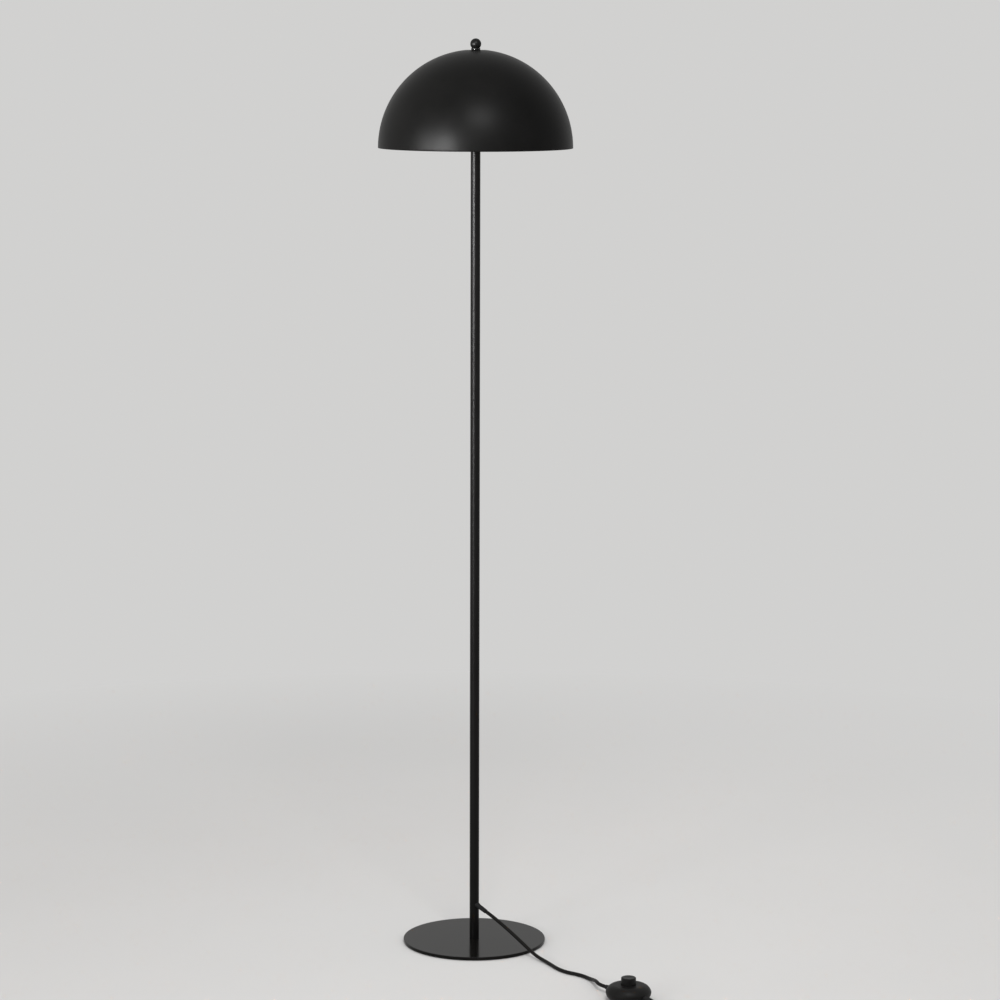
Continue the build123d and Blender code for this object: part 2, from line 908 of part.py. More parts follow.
finial_radius = finial_diameter / 2
finial_centre = finial_base + math.sqrt(finial_radius**2 - finial_foot_radius**2)
with BuildPart() as finial:
    with BuildSketch(lamp_side):
        with BuildLine():
            Polyline(
                (0, finial_centre + finial_radius),
                (0, finial_base + finial_bore_depth),
                (stud_diameter / 2 + running_gap, finial_base + finial_bore_depth),
                (stud_diameter / 2 + running_gap, finial_base),
                (finial_foot_radius, finial_base),
            )
            ThreePointArc(
                (finial_foot_radius, finial_base),
                (finial_radius, finial_centre),
                (0, finial_centre + finial_radius),
            )
        make_face()
    revolve(axis=Axis.Z)
finial.part.label = "finial"

# Foot switch, made about its own axis with X along the lead
switch_forward = Vector(*around(switch_azimuth, 1))
switch_frame = Plane((switch_x, switch_y, 0), x_dir=switch_forward, z_dir=(0, 0, 1))
switch_axis = Axis((switch_x, switch_y, 0), (0, 0, 1))
switch_side = Plane(
    (switch_x, switch_y, 0),
    x_dir=switch_forward,
    z_dir=switch_forward.cross(Vector(0, 0, 1)),
)
split_plane = switch_frame.offset(lead_height)


def across_switch(x):
    """The plane square to the lead at a distance along it from the switch's middle."""
    return Plane(
        switch_frame.from_local_coords((x, 0, lead_height)),
        x_dir=(0, 0, -1),
        z_dir=switch_forward,
    )


def switch_shell():
    """Half a section of the whole hollow case, in one piece, with the button's hole."""
    hole = button_diameter / 2 + button_hole_gap
    inner_radius = switch_radius - switch_wall
    shoulder_z = switch_height - roof_drop
    belly_x, belly_z = switch_belly_bulge
    bulge_x, bulge_z = switch_shoulder_bulge
    roof_in, bulge_in_x, bulge_in_z = switch_shoulder_thinning
    belly_in_x, belly_in_z, foot_in = switch_belly_thinning
    with BuildSketch(switch_side) as section:
        with BuildLine():
            Line((0, switch_foot_height), (switch_foot_radius, switch_foot_height))
            ThreePointArc(
                (switch_foot_radius, switch_foot_height),
                (switch_foot_radius + belly_x, switch_foot_height + belly_z),
                (switch_radius, switch_band_low),
            )
            Line((switch_radius, switch_band_low), (switch_radius, switch_band_high))
            ThreePointArc(
                (switch_radius, switch_band_high),
                (switch_radius - bulge_x, shoulder_z - bulge_z),
                (switch_roof_radius, shoulder_z),
            )
            Polyline(
                (switch_roof_radius, shoulder_z),
                (hole, switch_height),
                (hole, roof_under),
                (switch_roof_radius - roof_in, shoulder_z - switch_wall),
            )
            ThreePointArc(
                (switch_roof_radius - roof_in, shoulder_z - switch_wall),
                (inner_radius - bulge_in_x, shoulder_z - bulge_z - bulge_in_z),
                (inner_radius, switch_band_high),
            )
            Line((inner_radius, switch_band_high), (inner_radius, switch_band_low))
            ThreePointArc(
                (inner_radius, switch_band_low),
                (switch_foot_radius + belly_x - belly_in_x, switch_floor + belly_in_z),
                (switch_foot_radius - foot_in, switch_floor),
            )
            Polyline(
                (switch_foot_radius - foot_in, switch_floor),
                (0, switch_floor),
                (0, switch_foot_height),
            )
        make_face()
    return section.sketch


case_screw_spots = [(0, -case_screw_offset), (0, case_screw_offset)]
clamp_screw_spots = [
    (side_x * clamp_x, side_y * clamp_screw_offset) for side_x in (-1, 1) for side_y in (-1, 1)
]
foot_spots = [around(index * 120, rubber_foot_circle)[:2] for index in range(3)]
clamp_base = lead_height + lead_radius + fit_gap
clamp_top = clamp_base + clamp_thickness
head_seat = switch_foot_height + case_screw_recess + case_head_height

with BuildPart() as switch_lower_case:
    revolve(switch_shell(), axis=switch_axis)
    split(bisect_by=split_plane, keep=Keep.BOTTOM)
    with BuildSketch(across_switch(0)):
        Circle(relief_diameter / 2 + fit_gap)
    extrude(amount=switch_radius, both=True, mode=Mode.SUBTRACT)
    with BuildSketch(switch_frame.offset(switch_floor - switch_root)):
        with Locations(*case_screw_spots):
            Circle(post_diameter / 2)
    extrude(amount=lead_height - switch_floor + switch_root)
    with BuildSketch(switch_frame.offset(switch_floor - switch_root)):
        with Locations(*clamp_screw_spots):
            Circle(small_screw_diameter)
    extrude(amount=clamp_base - switch_floor + switch_root)
    with BuildSketch(switch_frame.offset(switch_floor - switch_root)):
        with Locations((-clamp_x, 0), (clamp_x, 0)):
            Rectangle(clamp_bed_length, clamp_screw_offset * 2)
    extrude(amount=lead_height - lead_radius - switch_floor + switch_root)
    with BuildSketch(switch_frame.offset(switch_floor - switch_root)):
        Circle(rotor_pin_diameter / 2)
    extrude(amount=rotor_height + rotor_pin_reach)
    with BuildSketch(switch_frame.offset(switch_foot_height)):
        with Locations(*case_screw_spots):
            Circle(case_screw_diameter / 2 + fit_gap)
    extrude(amount=lead_height, mode=Mode.SUBTRACT)
    with BuildSketch(switch_frame.offset(switch_foot_height)):
        with Locations(*case_screw_spots):
            Circle(case_head_diameter / 2 + fit_gap)
    extrude(amount=case_screw_recess + case_head_height, mode=Mode.SUBTRACT)
    with BuildSketch(switch_frame.offset(clamp_top - small_screw_length)):
        with Locations(*clamp_screw_spots):
            Circle(small_screw_diameter / 2 + fit_gap)
    extrude(amount=small_screw_length, mode=Mode.SUBTRACT)
    with BuildSketch(switch_frame.offset(switch_foot_height)):
        with Locations(*foot_spots):
            Circle(rubber_foot_diameter / 2 + fit_gap)
    extrude(amount=rubber_foot_sink, mode=Mode.SUBTRACT)
switch_lower_case.part.label = "switch_lower_case"

with BuildPart() as switch_upper_case:
    revolve(switch_shell(), axis=switch_axis)
    split(bisect_by=split_plane, keep=Keep.TOP)
    with BuildSketch(across_switch(0)):
        Circle(relief_diameter / 2 + fit_gap)
    extrude(amount=switch_radius, both=True, mode=Mode.SUBTRACT)
    with BuildSketch(split_plane):
        with Locations(*case_screw_spots):
            Circle(post_diameter / 2)
    extrude(amount=roof_under - lead_height)
    with BuildSketch(split_plane):
        with Locations(*case_screw_spots):
            Circle(case_screw_diameter / 2 + fit_gap)
    extrude(amount=head_seat + case_screw_length - lead_height, mode=Mode.SUBTRACT)
switch_upper_case.part.label = "switch_upper_case"

# Push button: a cup with a flange that the roof stops
with BuildPart() as switch_button:
    with BuildSketch(switch_frame.offset(button_flange_top - button_flange_thickness)):
        Circle(button_flange_diameter / 2)
    extrude(amount=button_flange_thickness)
    with BuildSketch(switch_frame.offset(button_flange_top)):
        Circle(button_diameter / 2)
    extrude(amount=button_height - button_flange_top)
    fillet(switch_button.faces().sort_by(Axis.Z)[-1].edges(), button_round)
    with BuildSketch(switch_frame.offset(button_flange_top - button_flange_thickness)):
        Circle(button_diameter / 2 - button_wall)
    extrude(
        amount=button_inner_top - button_flange_top + button_flange_thickness,
        mode=Mode.SUBTRACT,
    )
switch_button.part.label = "switch_button"

with BuildPart() as switch_plunger:
    with BuildSketch(switch_frame.offset(plunger_tip)):
        Circle(plunger_diameter / 2)
    extrude(amount=button_inner_top - plunger_tip)
    chamfer(switch_plunger.faces().sort_by(Axis.Z)[0].edges(), plunger_chamfer)
switch_plunger.part.label = "switch_plunger"

# Return spring between the contact block and the button's top
spring_radius = (spring_diameter - spring_wire) / 2
spring_height = button_inner_top - block_top - spring_wire
with BuildPart() as switch_spring:
    with BuildLine() as spring_route:
        Helix(
            pitch=spring_height / spring_turns,
            height=spring_height,
            radius=spring_radius,
            center=(switch_x, switch_y, block_top + spring_wire / 2),
        )
    with BuildSketch(start_plane(spring_route.wire())):
        Circle(spring_wire / 2)
    sweep(is_frenet=True)
switch_spring.part.label = "switch_spring"

# Ratchet rotor on its pin, with the metal bar that it carries
with BuildPart() as switch_rotor:
    with BuildSketch(switch_frame.offset(rotor_base)):
        Circle(rotor_radius)
        Circle(rotor_pin_diameter / 2 + running_gap, mode=Mode.SUBTRACT)
    extrude(amount=rotor_height)
    with BuildSketch(switch_frame.offset(contact_base - fit_gap)):
        Rectangle(4 * rotor_radius, contact_bar_width + 2 * fit_gap, rotation=contact_bar_turn)
    extrude(amount=contact_bar_thickness + 2 * fit_gap, mode=Mode.SUBTRACT)
switch_rotor.part.label = "switch_rotor"

with BuildPart() as switch_contact_bar:
    with BuildSketch(switch_frame.offset(contact_base)):
        Circle(rotor_radius)
        Rectangle(4 * rotor_radius, contact_bar_width, rotation=contact_bar_turn, mode=Mode.INTERSECT)
        Circle(rotor_pin_diameter / 2 + running_gap, mode=Mode.SUBTRACT)
    extrude(amount=contact_bar_thickness)
switch_contact_bar.part.label = "switch_contact_bar"

# Insulating block round the rotor, with slots for the fixed contacts
with BuildPart() as switch_block:
    with BuildSketch(switch_frame.offset(switch_floor)):
        Circle(block_radius)
        Circle(well_radius, mode=Mode.SUBTRACT)
    extrude(amount=block_height)
    with BuildSketch(switch_frame.offset(contact_base - fit_gap)):
        Rectangle(4 * block_radius, contact_bar_width + 2 * fit_gap)
    extrude(amount=contact_bar_thickness + 2 * fit_gap, mode=Mode.SUBTRACT)
switch_block.part.label = "switch_block"

terminal_top = lead_height + terminal_rise
strip_start = well_radius - fit_gap
strip_end = terminal_x - terminal_length / 2
with BuildPart() as switch_contacts:
    with BuildSketch(switch_frame.offset(contact_base)):
        with Locations(*((side * (strip_start + strip_end) / 2, 0) for side in (-1, 1))):
            Rectangle(strip_end - strip_start, contact_bar_width)
    extrude(amount=contact_bar_thickness)
    with BuildSketch(switch_frame.offset(contact_base)):
        with Locations((-terminal_x, 0), (terminal_x, 0)):
            Rectangle(terminal_length, terminal_width)
    extrude(amount=terminal_top - contact_base)
    with BuildSketch(across_switch(0)):
        with Locations((0, core_wire_offset)):
            Circle(core_wire_diameter / 2 + fit_gap)
    extrude(amount=sheath_end_x, both=True, mode=Mode.SUBTRACT)
    with BuildSketch(switch_frame.offset(lead_height)):
        with Locations((-terminal_x, core_wire_offset), (terminal_x, core_wire_offset)):
            Circle(small_screw_diameter / 2 + fit_gap)
    extrude(amount=terminal_rise, mode=Mode.SUBTRACT)
switch_contacts.part.label = "switch_contacts"


def headed_screws(frame, spots, seat, shank_base, shank, head, head_height, flip=1):
    """A group of equal screws whose heads lie on the far side of their seat."""
    with BuildPart() as screws:
        with BuildSketch(frame.offset(min(seat, shank_base))):
            with Locations(*spots):
                Circle(shank / 2)
        extrude(amount=abs(seat - shank_base))
        with BuildSketch(frame.offset(seat)):
            with Locations(*spots):
                Circle(head / 2)
        extrude(amount=flip * head_height)
    return screws.part


switch_terminal_screws = headed_screws(
    switch_frame,
    [(-terminal_x, core_wire_offset), (terminal_x, core_wire_offset)],
    terminal_top,
    lead_height + core_wire_diameter / 2 + fit_gap,
    small_screw_diameter,
    small_head_diameter,
    small_head_height,
)
switch_terminal_screws.label = "switch_terminal_screws"

clamp_screws = headed_screws(
    switch_frame,
    clamp_screw_spots,
    clamp_top,
    clamp_top - small_screw_length + fit_gap,
    small_screw_diameter,
    small_head_diameter,
    small_head_height,
)
clamp_screws.label = "clamp_screws"

case_screws = headed_screws(
    switch_frame,
    case_screw_spots,
    head_seat,
    head_seat + case_screw_length - fit_gap,
    case_screw_diameter,
    case_head_diameter,
    case_head_height,
    flip=-1,
)
case_screws.label = "case_screws"

# Bars that clamp the sheath at each end of the switch
with BuildPart() as switch_cord_clamps:
    with BuildSketch(switch_frame.offset(clamp_base)):
        with Locations((-clamp_x, 0), (clamp_x, 0)):
            RectangleRounded(clamp_length, clamp_span, clamp_corner)
        with Locations(*clamp_screw_spots):
            Circle(small_screw_diameter / 2 + fit_gap, mode=Mode.SUBTRACT)
    extrude(amount=clamp_thickness)
switch_cord_clamps.part.label = "switch_cord_clamps"

with BuildPart() as switch_feet:
    with BuildSketch(switch_frame):
        with Locations(*foot_spots):
            Circle(rubber_foot_diameter / 2)
    extrude(amount=switch_foot_height + rubber_foot_sink)
switch_feet.part.label = "switch_feet"

# Strain reliefs, one at each end of the switch
with BuildPart() as switch_reliefs:
    for side in (-1, 1):
        with BuildSketch(across_switch(side * relief_inner_x)):
            Circle(relief_diameter / 2)
        extrude(amount=side * (relief_taper_x - relief_inner_x))
        with BuildSketch(across_switch(side * relief_taper_x)):
            Circle(relief_diameter / 2)
        with BuildSketch(across_switch(side * relief_tip_x)):
            Circle(relief_tip_diameter / 2)
        loft()
    with BuildSketch(across_switch(0)):
        Circle(lead_radius + fit_gap)
    extrude(amount=2 * switch_radius, both=True, mode=Mode.SUBTRACT)
switch_reliefs.part.label = "switch_reliefs"

# The lead's ends inside the switch, sheath and bare cores
with BuildPart() as switch_sheaths:
    for side in (-1, 1):
        with BuildSketch(across_switch(side * sheath_end_x)):
            Circle(lead_radius)
        extrude(amount=side * (relief_tip_x - sheath_end_x))
switch_sheaths.part.label = "switch_sheaths"

neutral_in, neutral_lean, neutral_side_y = neutral_side
neutral_x = sheath_end_x - neutral_bend - neutral_in
neutral_half = [
    (sheath_end_x, -core_wire_offset),
    (neutral_x, -core_wire_offset),
    (neutral_x - neutral_lean, neutral_side_y),
    (neutral_middle_x, -neutral_route_y),
]
neutral_points = neutral_half + [(-x, y) for x, y in reversed(neutral_half)]
with BuildPart() as switch_wires:
    for side in (-1, 1):
        with BuildSketch(across_switch(side * sheath_end_x)):
            with Locations((0, core_wire_offset)):
                Circle(core_wire_diameter / 2)
        extrude(amount=-side * (sheath_end_x - terminal_x + live_wire_seat))
    with BuildLine() as neutral_route:
        FilletPolyline(
            *(switch_frame.from_local_coords((x, y, lead_height)) for x, y in neutral_points),
            radius=[neutral_bend, *neutral_sweep, *reversed(neutral_sweep), neutral_bend],
        )
    with BuildSketch(start_plane(neutral_route.wire())):
        Circle(core_wire_diameter / 2)
    sweep(path=neutral_route.wire())
switch_wires.part.label = "switch_wires"

# Free lead from the pole to the switch
switch_entry = Vector(*switch_frame.from_local_coords((-relief_tip_x, 0, lead_height)))
switch_exit = Vector(*switch_frame.from_local_coords((relief_tip_x, 0, lead_height)))
upper_path = lead_path(
    "cord_upper",
    [
        tuple(gland_tip),
        tuple(gland_tip + lead_out * gland_run),
        *upper_points,
        tuple(switch_entry - switch_forward * switch_run),
        tuple(switch_entry),
    ],
)
with BuildPart() as cord_upper:
    with BuildSketch(start_plane(upper_path)):
        Circle(lead_radius)
    sweep(path=upper_path)
cord_upper.part.label = "cord_upper"
check_tube("cord_upper", cord_upper.part, upper_path)

# The wound coil: half turns that spiral in, climb on the innermost one and spiral out
coil_out = Vector(*around(coil_start_angle, 1))
coil_heading = Vector(coil_out.Y, -coil_out.X, 0)
coil_low = coil_lift + lead_radius
radii_in = [
    coil_outer_radius - index * coil_pitch / 2 for index in range(coil_half_turns_in)
]
climb_radius = coil_outer_radius - coil_half_turns_in * coil_pitch / 2
coil_radii = [*radii_in, climb_radius, *reversed(radii_in)]
coil_knots = [Vector(coil_x, coil_y, coil_low) + coil_out * coil_outer_radius]
for index, radius in enumerate(coil_radii):
    side = -1 if index % 2 == 0 else 1
    knot = coil_knots[-1] + coil_out * (2 * side * radius)
    if index == coil_half_turns_in:
        knot = knot + Vector(0, 0, coil_layer_height)
    coil_knots.append(knot)
coil_start = coil_knots[0] - coil_heading * lead_diameter
coil_end_heading = coil_heading * (-1) ** len(coil_radii)
coil_end = coil_knots[-1] + coil_end_heading * lead_diameter
with BuildLine() as coil_route:
    Line(coil_start, coil_knots[0])
    for index, (near, far) in enumerate(zip(coil_knots, coil_knots[1:])):
        heading = coil_heading * (-1) ** index
        middle = (near + far) * 0.5 + heading * ((far - near).length / 2)
        ThreePointArc(near, middle, far)
    Line(coil_knots[-1], coil_end)
with BuildPart() as cord_coil:
    with BuildSketch(start_plane(coil_route.wire())):
        Circle(lead_radius)
    sweep(path=coil_route.wire())
cord_coil.part.label = "cord_coil"
check_tube("cord_coil", cord_coil.part, coil_route.wire())


def least_self_gap(path, step=1.0):
    """The least clear distance between stretches of a tube that are not neighbours."""
    count = int(path.length / step)
    spots = [tuple(path @ (index / count)) for index in range(count + 1)]
    apart = int(4 * lead_diameter / step)
    return min(
        math.dist(spots[first], spots[second])
        for first in range(len(spots) - apart)
        for second in range(first + apart, len(spots))
    ) - lead_diameter


print("cord_coil length", round(coil_route.wire().length, 1))
print("cord_coil least gap", round(least_self_gap(coil_route.wire()), 3))

# Free lead from the switch to the coil
lower_path = lead_path(
    "cord_lower",
    [
        tuple(switch_exit),
        tuple(switch_exit + switch_forward * switch_run),
        *lower_points,
        tuple(coil_start - coil_heading * coil_run),
        tuple(coil_start),
    ],
)
with BuildPart() as cord_lower:
    with BuildSketch(start_plane(lower_path)):
        Circle(lead_radius)
    sweep(path=lower_path)
cord_lower.part.label = "cord_lower"
check_tube("cord_lower", cord_lower.part, lower_path)

# Free lead from the coil to the plug
plug_forward = Vector(*around(plug_azimuth, 1))
plug_tip = Vector(plug_x, plug_y, plug_thickness / 2)
tail_path = lead_path(
    "cord_tail",
    [
        tuple(coil_end),
        tuple(coil_end + coil_end_heading * tail_run),
        *tail_points,
        tuple(plug_tip - plug_forward * tail_run),
        tuple(plug_tip),
    ],
)
with BuildPart() as cord_tail:
    with BuildSketch(start_plane(tail_path)):
        Circle(lead_radius)
    sweep(path=tail_path)
cord_tail.part.label = "cord_tail"
check_tube("cord_tail", cord_tail.part, tail_path)
lead_length = (
    upper_path.length
    + 2 * relief_tip_x
    + lower_path.length
    + coil_route.wire().length
    + tail_path.length
    + plug_relief_length
)
print("lead from gland to plug body", round(lead_length, 1))

# Strap that ties the coil half a turn from its climb
tie_inner = (
    math.sqrt(radii_in[-1] ** 2 - coil_pitch**2) - lead_radius - tie_gap - tie_slack
)
tie_outer = coil_outer_radius + lead_radius + 2 * tie_gap
tie_low = coil_lift - tie_gap
tie_high = coil_low + coil_layer_height + lead_radius + tie_gap
tie_plane = Plane((coil_x, coil_y, 0), x_dir=coil_heading, z_dir=coil_out)
tie_up = -1 if tie_plane.y_dir.Z < 0 else 1
with BuildPart() as coil_tie:
    with BuildSketch(tie_plane):
        with Locations(((tie_inner + tie_outer) / 2, tie_up * (tie_low + tie_high) / 2)):
            RectangleRounded(
                tie_outer - tie_inner + 2 * tie_thickness,
                tie_high - tie_low + 2 * tie_thickness,
                tie_corner,
            )
            RectangleRounded(
                tie_outer - tie_inner,
                tie_high - tie_low,
                tie_inner_corner,
                mode=Mode.SUBTRACT,
            )
    extrude(amount=tie_width / 2, both=True)
coil_tie.part.label = "coil_tie"


def across_plug(distance):
    """The plane square to the plug at a distance from the tip of its strain relief."""
    return Plane(plug_tip + plug_forward * distance, x_dir=(0, 0, 1), z_dir=plug_forward)


# Plug: one moulding with its tapered relief, two pins and their sleeves
plug_face = plug_relief_length + plug_taper_length + plug_front_length
pin_spots = [(0, -pin_spacing / 2), (0, pin_spacing / 2)]
with BuildPart() as plug_body:
    with BuildSketch(across_plug(0)):
        Circle(plug_relief_tip_diameter / 2)
    with BuildSketch(across_plug(plug_relief_length)):
        Circle(plug_relief_diameter / 2)
    loft()
    with BuildSketch(across_plug(plug_relief_length)):
        RectangleRounded(
            plug_back_thickness,
            plug_back_width,
            plug_back_thickness / 2 - plug_back_relax,
        )
    with BuildSketch(across_plug(plug_relief_length + plug_taper_length)):
        RectangleRounded(plug_thickness, plug_width, plug_corner)
    loft()
    with BuildSketch(across_plug(plug_relief_length + plug_taper_length)):
        RectangleRounded(plug_thickness, plug_width, plug_corner)
    extrude(amount=plug_front_length)
    fillet(plug_body.faces().sort_by(Axis(plug_tip, plug_forward))[-1].edges(), plug_edge_round)
    with BuildSketch(across_plug(plug_face)):
        with Locations(*pin_spots):
            Circle(pin_core_diameter / 2 + fit_gap)
    extrude(amount=-pin_root, mode=Mode.SUBTRACT)
plug_body.part.label = "plug_body"

with BuildPart() as plug_pins:
    with BuildSketch(across_plug(plug_face - pin_root + fit_gap)):
        with Locations(*pin_spots):
            Circle(pin_core_diameter / 2)
    extrude(amount=pin_root + pin_sleeve_length - fit_gap)
    with BuildSketch(across_plug(plug_face + pin_sleeve_length)):
        with Locations(*pin_spots):
            Circle(pin_diameter / 2)
    extrude(amount=pin_length - pin_sleeve_length)
    fillet(
        plug_pins.faces().group_by(Axis(plug_tip, plug_forward))[-1].edges(),
        pin_diameter / 2 - pin_tip_flat,
    )
plug_pins.part.label = "plug_pins"

with BuildPart() as plug_pin_sleeves:
    with BuildSketch(across_plug(plug_face)):
        with Locations(*pin_spots):
            Circle(pin_sleeve_diameter / 2)
            Circle(pin_core_diameter / 2 + fit_gap, mode=Mode.SUBTRACT)
    extrude(amount=pin_sleeve_length)
plug_pin_sleeves.part.label = "plug_pin_sleeves"

# One file for each piece, named by its label
pieces = [
    base_plate.part,
    base_pad.part,
    base_screw.part,
    pole_foot_insert.part,
    *pole_sections,
    pole_sockets.part,
    pole_studs.part,
    pole_top_bush.part,
    top_nipple.part,
    cable_gland.part,
    inner_cable.part,
    harp_saddle.part,
    saddle_nut.part,
    harp.part,
    harp_stud.part,
    holder_cap.part,
    holder_body.part,
    holder_core.part,
    holder_thread_shell.part,
    holder_contacts.part,
    holder_terminal_screws.part,
    holder_wires.part,
    bulb_cap.part,
    bulb_insulator.part,
    bulb_tip.part,
    bulb_glass.part,
    bulb_stem.part,
    bulb_filaments.part,
    bulb_support.part,
    shade.part,
    shade_washer.part,
    finial_washer.part,
    finial.part,
    switch_lower_case.part,
    switch_upper_case.part,
    switch_button.part,
    switch_plunger.part,
    switch_spring.part,
    switch_rotor.part,
    switch_contact_bar.part,
    switch_block.part,
    switch_contacts.part,
    switch_terminal_screws,
    clamp_screws,
    case_screws,
    switch_cord_clamps.part,
    switch_feet.part,
    switch_reliefs.part,
    switch_sheaths.part,
    switch_wires.part,
    cord_upper.part,
    cord_lower.part,
    cord_coil.part,
    cord_tail.part,
    coil_tie.part,
    plug_body.part,
    plug_pins.part,
    plug_pin_sleeves.part,
]
for piece in pieces:
    export_step(piece, f"parts/{piece.label}.step")
print(len(pieces), "pieces")
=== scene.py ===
import json
import math

import bpy
import numpy as np
from mathutils import Matrix


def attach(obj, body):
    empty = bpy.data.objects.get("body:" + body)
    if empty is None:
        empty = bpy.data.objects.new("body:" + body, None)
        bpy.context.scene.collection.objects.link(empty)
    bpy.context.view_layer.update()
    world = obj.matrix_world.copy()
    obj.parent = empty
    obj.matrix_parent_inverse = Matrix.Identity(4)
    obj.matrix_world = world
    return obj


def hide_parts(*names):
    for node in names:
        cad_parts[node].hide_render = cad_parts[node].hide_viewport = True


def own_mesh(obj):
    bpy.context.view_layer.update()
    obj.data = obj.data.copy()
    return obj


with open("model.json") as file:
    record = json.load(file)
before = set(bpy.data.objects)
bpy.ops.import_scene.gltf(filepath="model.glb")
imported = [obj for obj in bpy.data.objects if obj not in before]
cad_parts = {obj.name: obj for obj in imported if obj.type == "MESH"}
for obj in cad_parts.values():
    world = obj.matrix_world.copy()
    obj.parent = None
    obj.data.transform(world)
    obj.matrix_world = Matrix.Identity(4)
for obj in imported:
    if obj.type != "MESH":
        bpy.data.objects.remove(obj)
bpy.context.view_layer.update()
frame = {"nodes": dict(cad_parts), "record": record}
print("frame loaded with", len(frame["nodes"]), "nodes")

scene = bpy.context.scene
scene.view_settings.view_transform = "Standard"
mm = 0.001

# The camera stands where the photograph was taken, about 5.3 m in front of the lamp. Its tilt and
# roll are in radians.
cameraTilt = 0.14763677
cameraRoll = 0.00284433
cameraPlace = (0.0416726, -5.318222, 1.548152)
sensorWidth = 36.0
lensLength = 116.223
farthestSeen = 400.0
forward = np.array([0.0, math.cos(cameraTilt), -math.sin(cameraTilt)])
level = np.array([1.0, 0.0, 0.0])
upright = np.cross(level, forward)
cameraRight = math.cos(cameraRoll) * level + math.sin(cameraRoll) * upright
cameraUp = math.cos(cameraRoll) * upright - math.sin(cameraRoll) * level
cameraData = bpy.data.cameras.new("photoCamera")
cameraData.sensor_width = sensorWidth
cameraData.lens = lensLength
cameraData.clip_end = farthestSeen
camera = bpy.data.objects.new("photoCamera", cameraData)
turn = np.eye(4)
turn[:3, 0] = cameraRight
turn[:3, 1] = cameraUp
turn[:3, 2] = -forward
turn[:3, 3] = cameraPlace
camera.matrix_world = Matrix(turn.tolist())
scene.collection.objects.link(camera)
scene.camera = camera
print("camera set")


# Wraps a shader socket, so that maths on it reads as maths.
class Signal:
    def __init__(self, tree, socket):
        self.tree = tree
        self.socket = socket

    def node(self, kind, inputs=None, output=0, **settings):
        made = self.tree.nodes.new(kind)
        for name, value in settings.items():
            setattr(made, name, value)
        for key, value in (inputs or {}).items():
            if isinstance(value, Signal):
                self.tree.links.new(value.socket, made.inputs[key])
            else:
                made.inputs[key].default_value = value
        return Signal(self.tree, made.outputs[output] if made.outputs else None)

    def maths(self, operation, first, second):
        return self.node("ShaderNodeMath", {0: first, 1: second}, operation=operation)

    def __add__(self, other):
        return self.maths("ADD", self, other)

    def __radd__(self, other):
        return self.maths("ADD", other, self)

    def __sub__(self, other):
        return self.maths("SUBTRACT", self, other)

    def __rsub__(self, other):
        return self.maths("SUBTRACT", other, self)

    def __mul__(self, other):
        return self.maths("MULTIPLY", self, other)

    def __rmul__(self, other):
        return self.maths("MULTIPLY", other, self)

    def __truediv__(self, other):
        return self.maths("DIVIDE", self, other)

    def __rtruediv__(self, other):
        return self.maths("DIVIDE", other, self)

    def noise(self, scale, detail=2.0, roughness=0.5, stretch=(1.0, 1.0, 1.0)):
        where = self.node("ShaderNodeVectorMath", {0: self, 1: stretch}, operation="MULTIPLY")
        return self.node(
            "ShaderNodeTexNoise",
            {"Vector": where, "Scale": scale, "Detail": detail, "Roughness": roughness},
        )

    def part(self, axis):
        return self.node("ShaderNodeSeparateXYZ", {0: self}, output=axis)

    def between(self, low, high, start=0.0, end=1.0):
        return self.node("ShaderNodeMapRange", {0: self, 1: low, 2: high, 3: start, 4: end})

    def blend(self, first, second):
        return self.node("ShaderNodeMix", {0: self, 6: first, 7: second}, 2, data_type="RGBA")

    def speckle(self, scale, spread):
        return self.node("ShaderNodeTexVoronoi", {"Vector": self, "Scale": scale, "Randomness": spread})


# An empty material, and its object coordinates as a signal.
def startMaterial(name):
    material = bpy.data.materials.new(name)
    material.use_nodes = True
    tree = material.node_tree
    tree.nodes.clear()
    where = Signal(tree, tree.nodes.new("ShaderNodeTexCoord").outputs["Object"])
    return material, where


# Ends a material in a shader with these constants and inputs.
def finishMaterial(where, constants, inputs):
    shader = where.node("ShaderNodeBsdfPrincipled", {**constants, **inputs})
    where.node("ShaderNodeOutputMaterial", {"Surface": shader})


# A relief of small heights, in metres, that only turns the normal.
def bumped(height, depth):
    return height.node("ShaderNodeBump", {"Strength": 1.0, "Distance": depth, "Height": height})


# Sprayed or powder-coated metal: a fine orange peel, cloudy gloss and a trace of dust.
def paint(name, colour, cloudy, rough, peelScale, peelDepth, shine):
    material, where = startMaterial(name)
    cloud = where.noise(14.0, 4.0, 0.6)
    peel = where.noise(peelScale, 3.0, 0.55)
    dust = where.speckle(520.0, 1.0).between(0.05, 0.12, 1.0, 0.0)
    specks = dust * where.noise(60.0, 2.0).between(0.55, 0.7)
    tone = cloud.between(0.3, 0.7).blend((*colour, 1.0), (*cloudy, 1.0))
    finishMaterial(
        where,
        {"IOR": 1.5, "Specular IOR Level": shine},
        {
            "Base Color": (specks * 0.05).blend(tone, (0.5, 0.48, 0.45, 1.0)),
            "Roughness": cloud.between(0.25, 0.75, rough - 0.035, rough + 0.035) + specks * 0.15,
            "Normal": bumped(peel, peelDepth),
        },
    )
    return material


